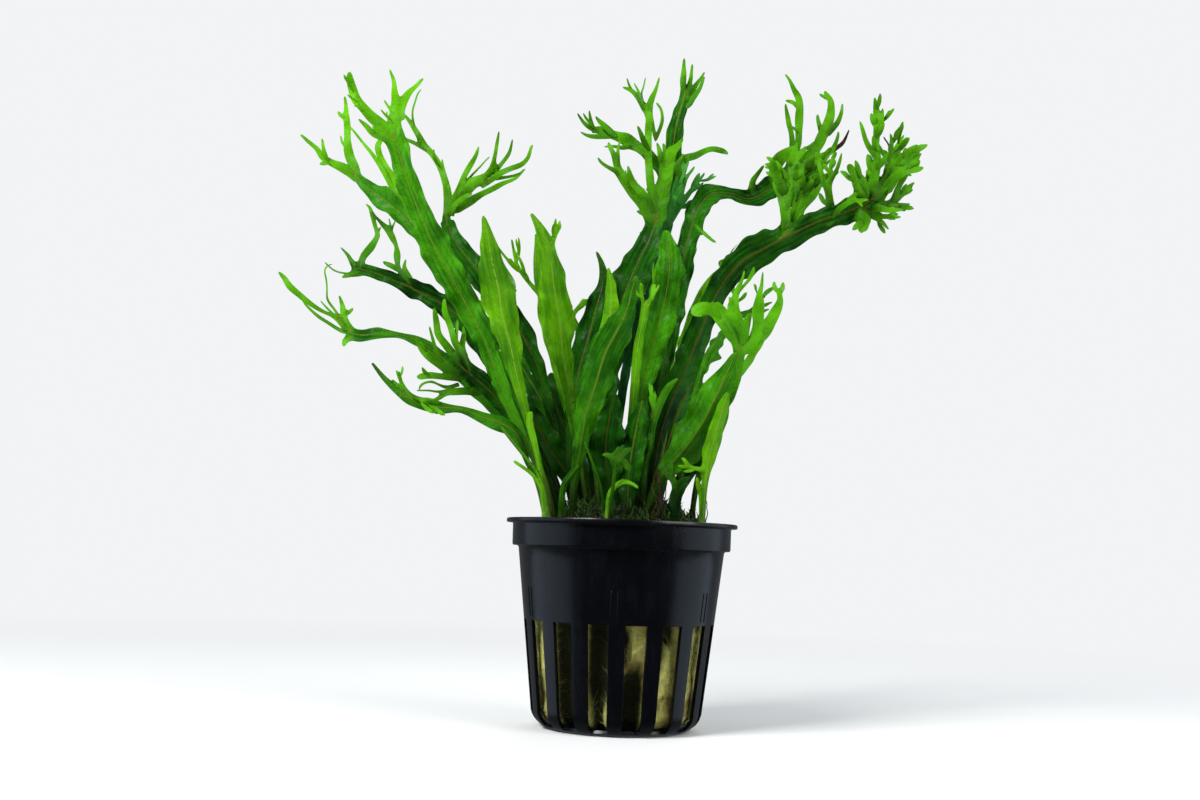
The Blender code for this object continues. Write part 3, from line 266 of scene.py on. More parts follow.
# Frond routes, in millimetres: tone, depth of foot and tip, side turn in degrees, stem as (x, z, width),
# and arms as (extra depth at the tip, [(x, z, width), ...])
frondRoutes = {
    "frond_left_tall": dict(tone="bright", depth=(-10, -30.5), turn=-26, stem=[(-15.5, 50, 0.9), (-17.5, 54.5, 1),
        (-20.5, 60.5, 1.2), (-24.5, 68.5, 2.1), (-29, 78, 3.2), (-33, 88, 4.6), (-38, 97, 5.7), (-42.5, 104.5, 6.7),
        (-46, 110.5, 6.2), (-49, 117, 5), (-51.5, 123, 4.6), (-53, 128, 4.8), (-54.5, 132.5, 4.4)], arms=[
        (-3, [(-54.5, 131.5, 3.2), (-56.5, 133.5, 3), (-59, 135.5, 2.5), (-61, 137.5, 2.1), (-63, 139.5, 2.1),
          (-64, 142, 2), (-64.5, 144, 1.6), (-64.5, 145.5, 0.6)]),
        (2, [(-54, 132, 3.2), (-54.5, 136, 2.8), (-54.5, 139.5, 2.2), (-55, 142.5, 1.4), (-55.5, 145.5, 0.9),
          (-56.5, 148, 0.4)]),
        (4, [(-53.5, 136, 2.5), (-53.5, 139.5, 2.2), (-52.5, 142, 1.6), (-51.5, 144, 1.2), (-50, 146, 0.9),
          (-49, 147, 0.4)]),
        (-5, [(-55.5, 131.5, 1.9), (-57.5, 131.5, 1.6), (-59, 132, 1.4), (-60.5, 133.5, 1), (-62, 134.5, 0.4)]),
        (-4, [(-63.5, 141, 0.9), (-64.5, 142.5, 0.5), (-65.5, 143.5, 0.4)]),
        (-3, [(-64, 143, 0.8), (-65, 143.5, 0.5), (-65.5, 144, 0.4)]),
        (-5, [(-62.5, 139, 1), (-63.5, 139, 0.6), (-64.5, 139.5, 0.4)]),
        (3, [(-55, 135, 0.9), (-56.5, 137, 0.5), (-57, 139, 0.4)]),
        (2, [(-55, 137.5, 0.9), (-56.5, 139.5, 0.5), (-57.5, 141, 0.4)]),
        (-2, [(-55, 135.5, 0.9), (-56.5, 136.5, 0.5), (-57.5, 137.5, 0.4)]),
        (-4, [(-61, 137, 0.9), (-62, 137.5, 0.6), (-63, 137, 0.4)]),
    ]),
    "frond_left_upper": dict(tone="mid", depth=(4, 21.5), turn=-20, stem=[(-13.5, 52, 1.2), (-19, 64, 1.5),
        (-26, 76.5, 2), (-33, 90, 2.2), (-40, 103, 2.5), (-48, 113, 2.7), (-55, 121, 3), (-59.5, 126, 4.5),
        (-64.5, 130, 5.1), (-69, 133.5, 3.1), (-72.5, 137, 2)], arms=[
        (3, [(-72, 136, 3), (-73, 139.5, 2.8), (-74.5, 143.5, 2.2), (-75, 147.5, 1.8), (-75.5, 152, 1.6),
          (-76, 155, 1.2), (-76.5, 158.5, 0.5)]),
        (-4, [(-71.5, 135.5, 2.4), (-74, 137.5, 2.4), (-76.5, 138.5, 2.2), (-79, 139.5, 1.8), (-80.5, 140.5, 1.7),
          (-82, 142.5, 1.2), (-84, 144, 1), (-86, 145.5, 0.5)]),
        (6, [(-56, 123.5, 2.2), (-59, 130.5, 1.8), (-61.5, 135, 1.8), (-64, 138.5, 1.7), (-66, 142, 1.6),
          (-66.5, 144.5, 1.6), (-66, 147, 1), (-68.5, 150, 0.6)]),
        (2, [(-58.5, 126.5, 1.2), (-61.5, 132, 1.2), (-66, 139.5, 1.1), (-70.5, 145, 0.7), (-74, 149, 0.5)]),
        (2, [(-75.5, 152, 1.1), (-77.5, 153.5, 1), (-78.5, 155, 0.4)]),
        (-2, [(-79, 139.5, 1.2), (-80, 142, 1), (-80.5, 145, 0.5)]),
        (-5, [(-78.5, 139, 1.6), (-79.5, 138, 1.6), (-80, 137, 0.8)]),
        (3, [(-74.5, 143.5, 1), (-76.5, 146, 0.7), (-77.5, 148.5, 0.4)]),
    ]),
    "frond_left_forked": dict(tone="dark", depth=(0.8, 11), turn=20, stem=[(-12, 53, 1.4), (-15, 63, 1.7),
        (-18, 73.5, 2.2), (-21.5, 84.5, 3.6), (-25.5, 92.5, 5.4), (-29.5, 98.5, 5.9), (-34, 104.5, 6.6),
        (-39, 111, 6.1), (-43.5, 116.5, 4.4), (-46.5, 122.5, 3.2)], arms=[
        (6, [(-46.5, 121.5, 1.9), (-47, 130, 1.6), (-48, 134.5, 1.6), (-49.5, 138, 1.6), (-52, 141.5, 1.5),
          (-53.5, 143, 1.7), (-56, 147, 1.4), (-58, 150, 1), (-60, 152, 0.4)]),
        (9, [(-53, 142, 1.2), (-56.5, 144.5, 1), (-59.5, 146.5, 0.8), (-62, 149.5, 0.4)]),
        (-5, [(-46, 124.5, 2.8), (-44, 129, 2.4), (-41, 132, 2.1), (-37, 133.5, 1.9), (-34, 135, 1.6)]),
        (-2, [(-44.5, 127, 1.9), (-43, 132.5, 1.6), (-41, 137, 1.3), (-39.5, 139.5, 0.9), (-39, 141.5, 0.4)]),
        (-9, [(-44, 128, 1.9), (-40, 131, 1.9), (-36, 134, 1.5), (-34.5, 137.5, 1), (-34, 141, 0.8),
          (-33.5, 143.5, 0.4)]),
        (2, [(-37, 132.5, 1.6), (-34, 135.5, 1.2), (-31.5, 139.5, 0.9), (-30.5, 143.5, 0.4)]),
        (-6, [(-38, 131, 1.9), (-34, 133.5, 1.7), (-30, 135, 1.4), (-27.5, 136, 1.1), (-26, 137.5, 0.9),
          (-25.5, 139.5, 0.7), (-25, 140.5, 0.4)]),
        (6, [(-45, 125, 2.1), (-41, 128.5, 2), (-37, 131.5, 1.6), (-33, 134, 1.2), (-30, 136, 0.9),
          (-27.5, 138.5, 0.4)]),
        (-7, [(-46.5, 124, 1.6), (-44, 126.5, 1.4), (-41.5, 128, 1), (-39.5, 128, 0.5)]),
        (4, [(-45.5, 126.5, 1.1), (-46.5, 131.5, 0.9), (-48, 136, 0.7), (-49, 140, 0.4)]),
        (5, [(-36, 133, 1.4), (-33.5, 133.5, 1), (-30.5, 134.5, 0.7), (-28, 136.5, 0.4)]),
        (7, [(-56.5, 148, 0.6), (-57.5, 152, 0.5), (-57.5, 155.5, 0.5), (-57, 158.5, 0.4), (-56, 160.5, 0.3)]),
        (5, [(-42.5, 131.5, 0.7), (-39.5, 136.5, 0.5), (-36.5, 140.5, 0.3)]),
        (-4, [(-49, 137, 0.9), (-50.5, 139, 0.7), (-50.5, 141, 0.4)]),
    ]),
    "frond_left_bright": dict(tone="lime", depth=(-13, -33.5), turn=38, stem=[(-15.5, 50, 0.9), (-18, 56, 1),
        (-21, 64.5, 1.2), (-23, 71.5, 1.8), (-25, 78.5, 2.7), (-27, 86.5, 4.7), (-29, 93.5, 6.9), (-30, 99, 7.3),
        (-31.5, 104.5, 5.5), (-32.5, 110, 2.6), (-33.5, 114, 0.6)], arms=[]),
    "frond_left_dark_long": dict(tone="dark", depth=(-3.3, 1.5), turn=-20, stem=[(-14, 52, 1.2), (-18, 60, 1.4),
        (-22.5, 68, 1.9), (-28, 76, 2.6), (-32, 84.5, 3.6), (-36.5, 91.5, 4.8), (-41.5, 97, 5.7), (-47, 100.5, 4.8),
        (-53.5, 103.5, 3.8), (-59.5, 106, 2.9), (-64.5, 107.5, 2.6), (-68, 108, 2.9)], arms=[
        (5, [(-66, 108, 1.7), (-65.5, 111, 1.7), (-64, 113.5, 1.8), (-63, 115.5, 1.5), (-62.5, 117, 1.2),
          (-63.5, 119.5, 1), (-64.5, 122.5, 1), (-65, 124, 0.7), (-66.5, 125.5, 0.3)]),
        (2, [(-67, 108, 1.7), (-68.5, 110, 1.1), (-69.5, 111.5, 0.8), (-71.5, 113.5, 0.3)]),
        (-3, [(-66, 107, 1.9), (-67.5, 106.5, 1.7), (-69, 105.5, 1), (-70, 105, 0.4)]),
        (8, [(-52.5, 103, 1.9), (-55.5, 106.5, 1.4), (-57, 109, 1.1), (-57.5, 112, 1.7), (-58, 114.5, 0.9),
          (-59, 116.5, 1.5), (-60.5, 119, 1.7), (-62, 120.5, 1.2), (-64, 122.5, 0.4)]),
        (4, [(-55.5, 107.5, 1.4), (-58, 109, 1.3), (-60, 110, 1.2), (-61.5, 111, 0.4)]),
        (4, [(-52.5, 103.5, 1.9), (-54.5, 106.5, 1.9), (-55.5, 109, 1), (-55.5, 111.5, 0.3)]),
        (0, [(-67.5, 106.5, 0.5), (-70, 106.5, 0.4), (-72, 107, 0.4), (-73.5, 108, 0.3), (-74.5, 109, 0.3)]),
        (2, [(-62.5, 116.5, 0.7), (-62.5, 118.5, 0.5), (-62, 119.5, 0.3)]),
        (7, [(-59.5, 119, 0.7), (-60.5, 121, 0.5), (-61.5, 123.5, 0.3)]),
        (9, [(-59.5, 119, 0.7), (-60, 121, 0.5), (-60, 123.5, 0.3)]),
    ]),
    "frond_left_low_long": dict(tone="mid", depth=(-5, -8), turn=38, stem=[(-15, 51, 0.9), (-18.5, 58, 1.1),
        (-23, 65, 1.9), (-28.5, 71.5, 2.6), (-34, 76.5, 3.3), (-38.5, 81, 3.3), (-44, 85.5, 3.1), (-49.5, 89, 2.6),
        (-54.5, 90.5, 1.4), (-59.5, 90.5, 3), (-63, 90, 3.5), (-66.5, 90.5, 2.1)], arms=[
        (-4, [(-65.5, 90.5, 1.9), (-67, 91.5, 1.4), (-69, 93.5, 0.9), (-70.5, 94.5, 0.8), (-73, 95.5, 0.9),
          (-75.5, 97, 1.2), (-77.5, 98.5, 1.4), (-80, 100.5, 1.5), (-81.5, 102.5, 1.2), (-83, 104, 0.5)]),
        (4, [(-66.5, 90.5, 1.4), (-69, 91.5, 0.9), (-71.5, 93, 0.8), (-74, 94.5, 0.8), (-76.5, 96.5, 0.6),
          (-78.5, 98.5, 0.3)]),
        (3, [(-65.5, 91, 1.6), (-67, 93, 1.4), (-68, 95, 1.5), (-68.5, 97, 1.3), (-69, 98.5, 0.8),
          (-69.5, 100, 0.4)]),
        (3, [(-68, 95, 0.9), (-67, 96, 0.9), (-66.5, 97.5, 0.7)]),
        (5, [(-67.5, 92.5, 0.7), (-70, 96, 0.6), (-72, 98.5, 0.5), (-72.5, 101, 0.4), (-73, 104, 0.4),
          (-73.5, 106, 0.3), (-73, 107.5, 0.3), (-72, 108, 0.3)]),
        (6, [(-69, 94, 0.6), (-72, 96.5, 0.5), (-74.5, 99, 0.3)]),
        (0, [(-65.5, 89.5, 1.6), (-67, 88.5, 1.4), (-67, 87, 0.7)]),
    ]),
    "frond_left_mid_crest": dict(tone="dark", depth=(-6.5, -16), turn=-20, stem=[(-14.5, 51.5, 1.2), (-18, 58, 1.4),
        (-21.5, 64.5, 1.9), (-26, 70.5, 2.8), (-30.5, 76, 3.7), (-34.5, 79.5, 4.4), (-38, 82, 3.9),
        (-40.5, 84.5, 2.7)], arms=[
        (5, [(-36.5, 81, 2.1), (-38.5, 85.5, 1.8), (-40.5, 88.5, 1.6), (-42, 92.5, 1.4), (-43.5, 96, 1.3),
          (-44, 99.5, 0.7)]),
        (7, [(-37.5, 84, 1.6), (-39, 87.5, 1.4), (-39, 90.5, 1.2), (-39.5, 93.5, 0.5)]),
        (-3, [(-39.5, 84, 2.1), (-42, 87, 1.8), (-44, 89.5, 1.6), (-44.5, 92.5, 1.4), (-45, 95.5, 0.6)]),
        (3, [(-40, 86.5, 1.2), (-40.5, 89.5, 1), (-40.5, 92, 0.9), (-40.5, 94.5, 0.4)]),
        (-7, [(-39.5, 81.5, 2.8), (-41.5, 82, 2.7), (-43.5, 83, 2.5), (-46, 84.5, 2), (-47.5, 86, 1.4),
          (-48.5, 88, 0.8)]),
        (-5, [(-46, 85, 1), (-47, 86, 0.9), (-47, 87, 0.6)]),
        (-9, [(-42.5, 83, 1.1), (-44, 85.5, 0.9), (-44.5, 87.5, 0.7), (-45, 90, 0.4)]),
        (-4, [(-38.5, 80, 1.8), (-41, 80, 1.6), (-43, 80, 1.4), (-45.5, 80, 1.6), (-47.5, 79.5, 1.4),
          (-48.5, 79.5, 0.5)]),
        (-3, [(-45.5, 80, 1.1), (-46.5, 80.5, 1), (-47, 81.5, 0.4)]),
        (-9, [(-34.5, 77, 1.8), (-37, 77, 1.8), (-39.5, 76.5, 1.8), (-41.5, 76, 1.4), (-43, 74.5, 0.9),
          (-45, 73.5, 0.4)]),
        (-6, [(-39, 78.5, 1.1), (-41.5, 77.5, 0.8), (-43.5, 78, 0.5), (-45, 78.5, 0.5), (-47, 77.5, 0.5),
          (-47.5, 76, 0.3)]),
        (-7, [(-40.5, 77, 0.5), (-43, 76, 0.5), (-45, 76, 0.4), (-47.5, 75.5, 0.3)]),
    ]),
    "frond_left_low": dict(tone="mid", depth=(-10, -32), turn=32, stem=[(-17.5, 50, 0.9), (-20, 56, 1),
        (-22.5, 61, 1.2), (-25, 67, 2.3), (-29, 69.5, 3.7), (-33, 70.5, 2.7), (-37.5, 72, 1.6), (-42.5, 72, 2.7),
        (-47.5, 73, 2.7), (-51, 75, 1.8), (-54, 77.5, 1.1), (-56.5, 80.5, 0.5)], arms=[
        (-3, [(-48, 73.5, 1.2), (-50, 76, 0.9), (-51.5, 79.5, 0.4)]),
        (3, [(-50.5, 74, 1), (-45.5, 73, 0.8), (-43, 70.5, 0.4)]),
    ]),
    "frond_front_fiddle": dict(tone="lime", depth=(-15, -22), turn=-38, stem=[(-17.5, 49.5, 1.1), (-19, 56, 1.1),
        (-20, 62, 1.15), (-21, 66, 1.4), (-22, 69.5, 1.6), (-22, 72, 1.3)], arms=[
        (-2, [(-19, 55, 0.9), (-21, 58, 0.8), (-25.5, 61, 0.7)]),
    ]),
    "frond_front_thin": dict(tone="lime", depth=(-16.9, -21), turn=26, stem=[(-16, 50, 0.8), (-19, 56.5, 0.8),
        (-22.5, 61.5, 0.8), (-25.5, 65, 0.8), (-28.5, 68.5, 0.6)], arms=[]),
    "frond_bright_center": dict(tone="lime", depth=(-6, -22), turn=44, stem=[(-8, 52, 1), (-10.5, 62.5, 1.2),
        (-12.5, 71, 1.9), (-14, 79.5, 2.8), (-15.5, 87, 4.9), (-16.5, 94.5, 6.7), (-18, 102, 5.9), (-19, 108, 4.5),
        (-21, 113.5, 2.5), (-23.5, 117.5, 0.7)], arms=[
        (3, [(-19, 110, 1.3), (-18, 114, 1), (-17, 117.5, 0.5)]),
    ]),
    "frond_bright_center_back": dict(tone="lime", depth=(2, -1), turn=-14, stem=[(-7.5, 52.5, 1.2), (-11, 65.5, 1.4),
        (-14.5, 76, 1.7), (-17.5, 86.5, 2.2), (-19.5, 95.5, 3.8), (-21, 102.5, 2.9), (-22.5, 109, 2.2),
        (-23, 117.5, 1)], arms=[
        (-3, [(-21, 102, 1.1), (-24.5, 105.5, 1), (-27.5, 109.5, 0.8), (-29, 115.5, 0.5)]),
    ]),
    "frond_pale_stalk": dict(tone="lime", depth=(1, 8), turn=26, stem=[(-4, 53.5, 1), (-5, 68, 1.2),
        (-6.5, 81.5, 1.2), (-9, 88.5, 1.5), (-12, 95, 1.5), (-14.5, 99, 2), (-16.5, 102.5, 1.2)], arms=[
        (2, [(-14, 99, 1.1), (-12, 102, 0.9), (-10, 104, 0.5)]),
        (-2, [(-14.5, 99.5, 1.1), (-14, 101.5, 0.5)]),
    ]),
    "frond_center_dark_left": dict(tone="dark", depth=(-3, 0), turn=-26, stem=[(-10.5, 51.5, 1.4), (-12.5, 60, 1.7),
        (-13, 68, 2.4), (-12.5, 76, 3.8), (-11.5, 84.5, 5.5), (-9.5, 92.5, 6.4), (-8, 99.5, 5.3), (-6.5, 106, 2.6),
        (-7, 110.5, 1.4), (-8.5, 114, 0.5)], arms=[]),
    "frond_center_front": dict(tone="bright", depth=(-13, -27.5), turn=26, stem=[(-12, 50, 1.2), (-11.5, 57, 1.8),
        (-10.5, 64.5, 3.2), (-9.5, 71.5, 5), (-7.5, 79, 6.6), (-5.5, 86, 7), (-3, 91, 6), (-1, 95.5, 4), (0, 100, 2),
        (1, 103, 0.7)], arms=[]),
    "frond_bright_center_small": dict(tone="lime", depth=(-6, -13), turn=-32, stem=[(-5.5, 52, 1.4), (-7, 67.5, 1.9),
        (-6.5, 80, 2.8), (-5.5, 89.5, 3.7), (-4.5, 96.5, 3.9), (-4.5, 102.5, 2.5), (-5.5, 107.5, 0.5)], arms=[]),
    "frond_center_broad": dict(tone="dark", depth=(0, 4.5), turn=-26, stem=[(-4, 52.5, 1.9), (-6, 65.5, 3.4),
        (-5.5, 77.5, 5.8), (-4.5, 89.5, 7.2), (-3, 99, 7.5), (-0.5, 106, 8.5), (2, 112.5, 7.5), (4.5, 118, 5.6),
        (6, 123, 3.6)], arms=[
        (-5, [(6, 122, 3.3), (2, 127.5, 2.9), (-2, 132, 2.5), (-4, 135.5, 1.8), (-5, 138, 1.3), (-6, 140, 1),
          (-6.5, 141.5, 0.5)]),
        (2, [(-4, 136, 1.2), (-4, 138.5, 1), (-4, 140.5, 0.6), (-3.5, 143, 0.4)]),
        (-6, [(-3.5, 134, 1.3), (-6, 134.5, 1.1), (-8, 135, 0.7), (-9, 136, 0.4)]),
        (2, [(6, 123, 2.5), (5, 128.5, 2.2), (4, 136, 1.9), (3.5, 141.5, 1.8), (3.5, 146.5, 1.8), (3.5, 150, 1.8),
          (2.5, 152.5, 1.6), (1.5, 154, 0.9)]),
        (-4, [(2.5, 152, 1.6), (0.5, 154.5, 1.4), (-1.5, 156, 1), (-3.5, 156.5, 0.4)]),
        (-2, [(0.5, 154.5, 0.9), (-1.5, 156.5, 0.6), (-2.5, 158.5, 0.3)]),
        (4, [(1.5, 153.5, 0.9), (0.5, 157.5, 0.6), (-0.5, 160, 0.3)]),
        (5, [(3, 151, 1.8), (4, 155, 1.5), (5, 158, 1), (6, 162, 0.4)]),
        (7, [(2.5, 152.5, 0.6), (1.5, 156.5, 0.5), (2, 159.5, 0.4), (2.5, 162.5, 0.3)]),
        (-6, [(4, 141, 1.6), (2.5, 142.5, 1.4), (1.5, 144, 1.1), (0.5, 145.5, 0.5)]),
        (7, [(6.5, 123, 3.3), (7, 129, 3.9), (8, 134.5, 3.6), (8.5, 138.5, 3.4), (9.5, 142, 2.8), (11, 144, 1.8),
          (12.5, 146.5, 0.5)]),
        (7, [(8, 138, 2), (7, 141, 1.6), (6.5, 144.5, 1), (6, 146.5, 0.4)]),
        (7, [(9.5, 135.5, 1.6), (10.5, 138.5, 1.4), (12, 141.5, 0.9), (13, 143.5, 0.4)]),
        (-5, [(5, 125, 2.5), (2.5, 129, 2.2), (0, 131.5, 1.7), (-1, 133.5, 1.1), (-1.5, 135.5, 0.4)]),
        (3, [(8, 137, 1.5), (8, 141.5, 1.3), (7.5, 145, 0.5)]),
        (-3, [(5.5, 145, 0.9), (4.5, 149.5, 0.9), (4, 152, 0.7), (4.5, 154, 0.4)]),
        (5, [(5.5, 145.5, 0.9), (7, 150.5, 0.9), (7, 153.5, 0.7), (6.5, 155.5, 0.7), (5.5, 157, 0.5)]),
    ]),
    "frond_center_tall": dict(tone="mid", depth=(8, 19.5), turn=-20, stem=[(4.5, 54, 1.5), (5, 69, 2), (6.5, 84, 2.5),
        (7.5, 99.5, 2.7), (8.5, 114, 3), (9, 126, 3), (9, 134.5, 3), (10, 142.5, 4.4), (11, 151.5, 3.8),
        (12.5, 158, 2.8), (13.5, 163, 2.2)], arms=[
        (-2, [(13.5, 159.5, 2), (12.5, 163, 1.8), (12.5, 165.5, 1.4), (12.5, 167, 1.1), (12.5, 169.5, 0.5)]),
        (4, [(13.5, 160.5, 1.5), (14.5, 165, 1.1), (15, 170, 0.5)]),
        (7, [(13.5, 159.5, 1.8), (16, 164, 1.3), (18.5, 169, 0.4)]),
        (1, [(13.5, 156.5, 1.8), (15.5, 160, 1.4), (17, 162.5, 1), (18, 165.5, 0.5)]),
        (6, [(10.5, 139, 2.3), (13, 142.5, 2), (16, 144, 1.8), (18.5, 145.5, 1.6), (21, 146.5, 1.5),
          (23.5, 146.5, 1.3), (25, 145.5, 0.6)]),
        (-8, [(9, 135, 2.8), (7.5, 138.5, 3), (4.5, 141.5, 3.1), (1.5, 143.5, 3), (-1.5, 145, 2.8), (-4.5, 146, 2.7),
          (-7.5, 146.5, 2.3), (-10, 146.5, 1.7)]),
        (-3, [(-4.5, 145.5, 2), (-6.5, 147, 1.6), (-8.5, 148.5, 1.2), (-10, 150, 0.4)]),
        (-6, [(-10, 146, 1.2), (-11, 148, 0.9), (-11.5, 150, 0.4)]),
        (-9, [(-9.5, 146.5, 1.1), (-12, 147.5, 0.7), (-13, 148.5, 0.3)]),
        (-5, [(-8.5, 146, 1.5), (-12, 147, 1.1), (-14.5, 149.5, 0.4)]),
        (-10, [(-6.5, 145.5, 1.5), (-10.5, 143.5, 1.1), (-13.5, 143.5, 0.4)]),
        (0, [(11.5, 135.5, 2), (12.5, 140, 1.8), (13.5, 142, 1.3), (14.5, 143.5, 0.5)]),
        (-11, [(-0.5, 144, 1.5), (-3, 142, 1.1), (-5.5, 141.5, 0.7), (-7.5, 140, 0.4)]),
    ]),
    "frond_teal_crest": dict(tone="teal", depth=(4, 11), turn=-20, stem=[(-3.5, 53.5, 1.5), (-3, 63.5, 1.7),
        (-1.5, 73.5, 1.9), (-0.5, 83.5, 2.2), (1, 92, 2.4), (3, 101.5, 2.7), (5, 109.5, 3), (7, 116.5, 2.7),
        (8.5, 122.5, 2.5)], arms=[
        (-4, [(8.5, 122, 1.9), (10, 129.5, 1.4), (13, 135, 0.5)]),
        (4, [(9, 123.5, 1.9), (13.5, 131, 1.4), (18.5, 138.5, 0.5)]),
        (0, [(10.5, 131, 1.1), (12.5, 135.5, 0.9), (14, 140, 0.5)]),
    ]),
    "frond_right_center_column": dict(tone="bright", depth=(-5, -8), turn=20, stem=[(2.5, 51.5, 1.9), (3, 61, 2.8),
        (3, 70.5, 3.3), (3.5, 78.5, 3.8), (5, 86.5, 5.8), (6.5, 93, 7), (8, 100, 7.4), (9, 107, 6.8), (9, 112.5, 5),
        (8, 118, 1.6)], arms=[]),
    "frond_right_arch_upper": dict(tone="dark", depth=(2, 15), turn=-26, stem=[(4.5, 52.5, 1.7), (6, 63.5, 2.2),
        (7, 74, 2.7), (8.5, 84, 3.2), (10, 94, 4.1), (11.5, 104, 4.9), (13, 112, 4.6), (14.5, 120, 4.4),
        (16.5, 127, 4.9), (20, 132, 5), (25.5, 132.5, 3), (30, 131.5, 4.9), (35.5, 135, 5.2),
        (39.5, 140, 4.2)], arms=[
        (-4, [(39.5, 138, 2.6), (41, 143.5, 1.8), (42, 146.5, 1.7), (42, 149.5, 1.8), (42, 153, 2), (42, 156, 1.8),
          (41.5, 158.5, 1.6), (40, 160.5, 1.1), (38, 164, 0.5)]),
        (2, [(42, 155, 1.4), (40.5, 157.5, 1), (38.5, 158, 0.5)]),
        (-8, [(40, 142, 1.8), (40.5, 144.5, 1.7), (40, 147.5, 1.4), (39, 150, 1.3), (38.5, 152, 1.1),
          (37.5, 154.5, 0.5)]),
        (5, [(40, 138, 3.2), (43, 141.5, 2.6), (45.5, 144.5, 2.6), (47.5, 147, 2.6), (48.5, 149.5, 2.6),
          (50, 153, 2.3), (51, 156, 2.1), (51, 159, 1.7), (50.5, 161, 1.5), (49.5, 163, 0.7)]),
        (7, [(51, 160, 1.3), (50, 162.5, 1), (49, 164, 0.5)]),
        (7, [(49, 149.5, 1.7), (48.5, 154, 1.3), (48.5, 158, 0.6)]),
        (9, [(50, 150.5, 1.7), (53, 154.5, 1.4), (54.5, 158, 1), (55.5, 162, 0.5)]),
        (3, [(43, 139, 2.1), (45, 141, 1.7), (47, 143.5, 1.5), (50, 145, 1.5), (51.5, 146.5, 1.3), (52.5, 149, 0.9),
          (53, 151.5, 0.5)]),
        (3, [(49.5, 144.5, 1.3), (52.5, 147, 1.1), (54.5, 149, 0.9), (56, 152.5, 0.3)]),
        (-3, [(40.5, 136.5, 2.1), (43, 137.5, 1.7), (45.5, 138.5, 1.4), (48, 140, 1.1), (50, 142, 0.5)]),
        (8, [(41.5, 142.5, 0.9), (43, 145.5, 0.9), (45.5, 147.5, 0.8), (48, 150, 0.5)]),
        (-9, [(36.5, 135, 2.5), (36, 138, 2.9), (36.5, 140.5, 2.9), (38.5, 142, 2.5), (40.5, 143, 1.1)]),
        (3, [(39.5, 138, 1.5), (37, 140, 1.3), (34, 141.5, 0.5)]),
        (-4, [(30.5, 133, 1.6), (30.5, 136, 1.4), (31.5, 137.5, 1.1), (33, 139.5, 0.6)]),
        (-7, [(14.5, 126, 1.4), (17, 122, 1.1), (21, 118, 0.6)]),
        (-5, [(42, 149, 1.1), (40.5, 149.5, 0.8), (38.5, 149.5, 0.3)]),
    ]),
    "frond_right_big_arch": dict(tone="dark", depth=(-3, -17.5), turn=44, stem=[(6, 52, 1.7), (7, 61, 2.1),
        (8.5, 70.5, 2.8), (11, 78.5, 4.2), (14, 86, 5.9), (16.5, 93, 5.6), (18.5, 98.5, 4.9), (21.5, 105, 4.7),
        (26, 110.5, 6.5), (31, 113.5, 6.2), (36.5, 116.5, 5.2), (42.5, 119.5, 4.3), (48, 121.5, 4.4), (52, 123, 5),
        (55.5, 125, 4.4)], arms=[
        (6, [(34, 115, 2.8), (36, 119, 2.5), (36, 123.5, 2.2), (35.5, 127, 2.1), (36, 130.5, 1.8), (35.5, 134, 1)]),
        (10, [(36, 116.5, 3.1), (38, 121, 2.9), (40, 126, 2.5), (41, 130, 2.1), (42.5, 133, 1.9), (44.5, 135, 1.1)]),
        (12, [(40.5, 127, 1.8), (42.5, 130, 1.6), (45.5, 132.5, 1.2), (48.5, 136, 0.4)]),
        (4, [(39, 125, 1.6), (39, 129, 1.3), (39, 133, 0.9), (38, 135.5, 0.4)]),
        (-5, [(45.5, 119, 3.1), (46, 122, 2.6), (45.5, 126, 1.5), (45.5, 130, 1), (45.5, 132.5, 0.9),
          (46.5, 135.5, 1)]),
        (-3, [(54, 123, 2.8), (55.5, 128, 2.2), (56.5, 133.5, 1.7), (56, 136.5, 1.5), (56, 139.5, 1.6),
          (56, 142.5, 1.8), (56, 145, 1.6), (55.5, 147, 1.2), (55, 148.5, 0.3)]),
        (2, [(56, 141, 1.1), (57.5, 143.5, 0.9), (58.5, 145.5, 0.3)]),
        (5, [(56, 125, 2.6), (59.5, 130.5, 2), (61, 133, 1.8), (60.5, 136, 1.3), (60.5, 139, 1.1),
          (60.5, 142.5, 0.4)]),
        (9, [(61, 133, 1.7), (61.5, 137, 1.6), (63, 140.5, 1.2), (65, 144, 0.4)]),
        (7, [(60.5, 137, 0.7), (60.5, 141, 0.4), (60, 143.5, 0.3)]),
        (2, [(55.5, 123.5, 3.4), (58.5, 128.5, 2.8), (62, 133.5, 2.6), (63.5, 136, 2.4), (65, 137.5, 2),
          (67, 139, 1.2)]),
        (-4, [(58, 126.5, 2.6), (61, 130.5, 2.4), (62.5, 131.5, 2.1), (64.5, 132.5, 1.9), (66, 134, 0.9)]),
        (6, [(56.5, 123.5, 2), (60.5, 125, 1.7), (63.5, 128, 1.5), (65, 129.5, 1.1), (67, 131.5, 0.4)]),
        (3, [(56.5, 123.5, 2), (59.5, 124.5, 1.6), (62.5, 124.5, 1.2), (65.5, 125.5, 0.4)]),
        (-7, [(55, 123, 2), (57, 122.5, 1.7), (59, 121.5, 1.3), (61.5, 121, 0.4)]),
        (0, [(54.5, 122.5, 2), (56.5, 122, 1.5), (58.5, 121, 1.1), (62, 122, 0.4)]),
        (3, [(54.5, 122, 1.8), (57, 121, 1.2), (59, 120, 1), (60.5, 119, 0.3)]),
        (-3, [(52.5, 123, 3.6), (53.5, 120, 2.8), (52.5, 117.5, 1.9), (52.5, 116, 0.8)]),
        (-8, [(56, 124, 2.6), (54, 125.5, 2.7), (52.5, 128, 2.4), (51, 129.5, 1.9), (48.5, 131, 0.7)]),
        (-11, [(54.5, 124.5, 2), (51, 126, 1.8), (49.5, 127, 1.3), (48.5, 128, 0.4)]),
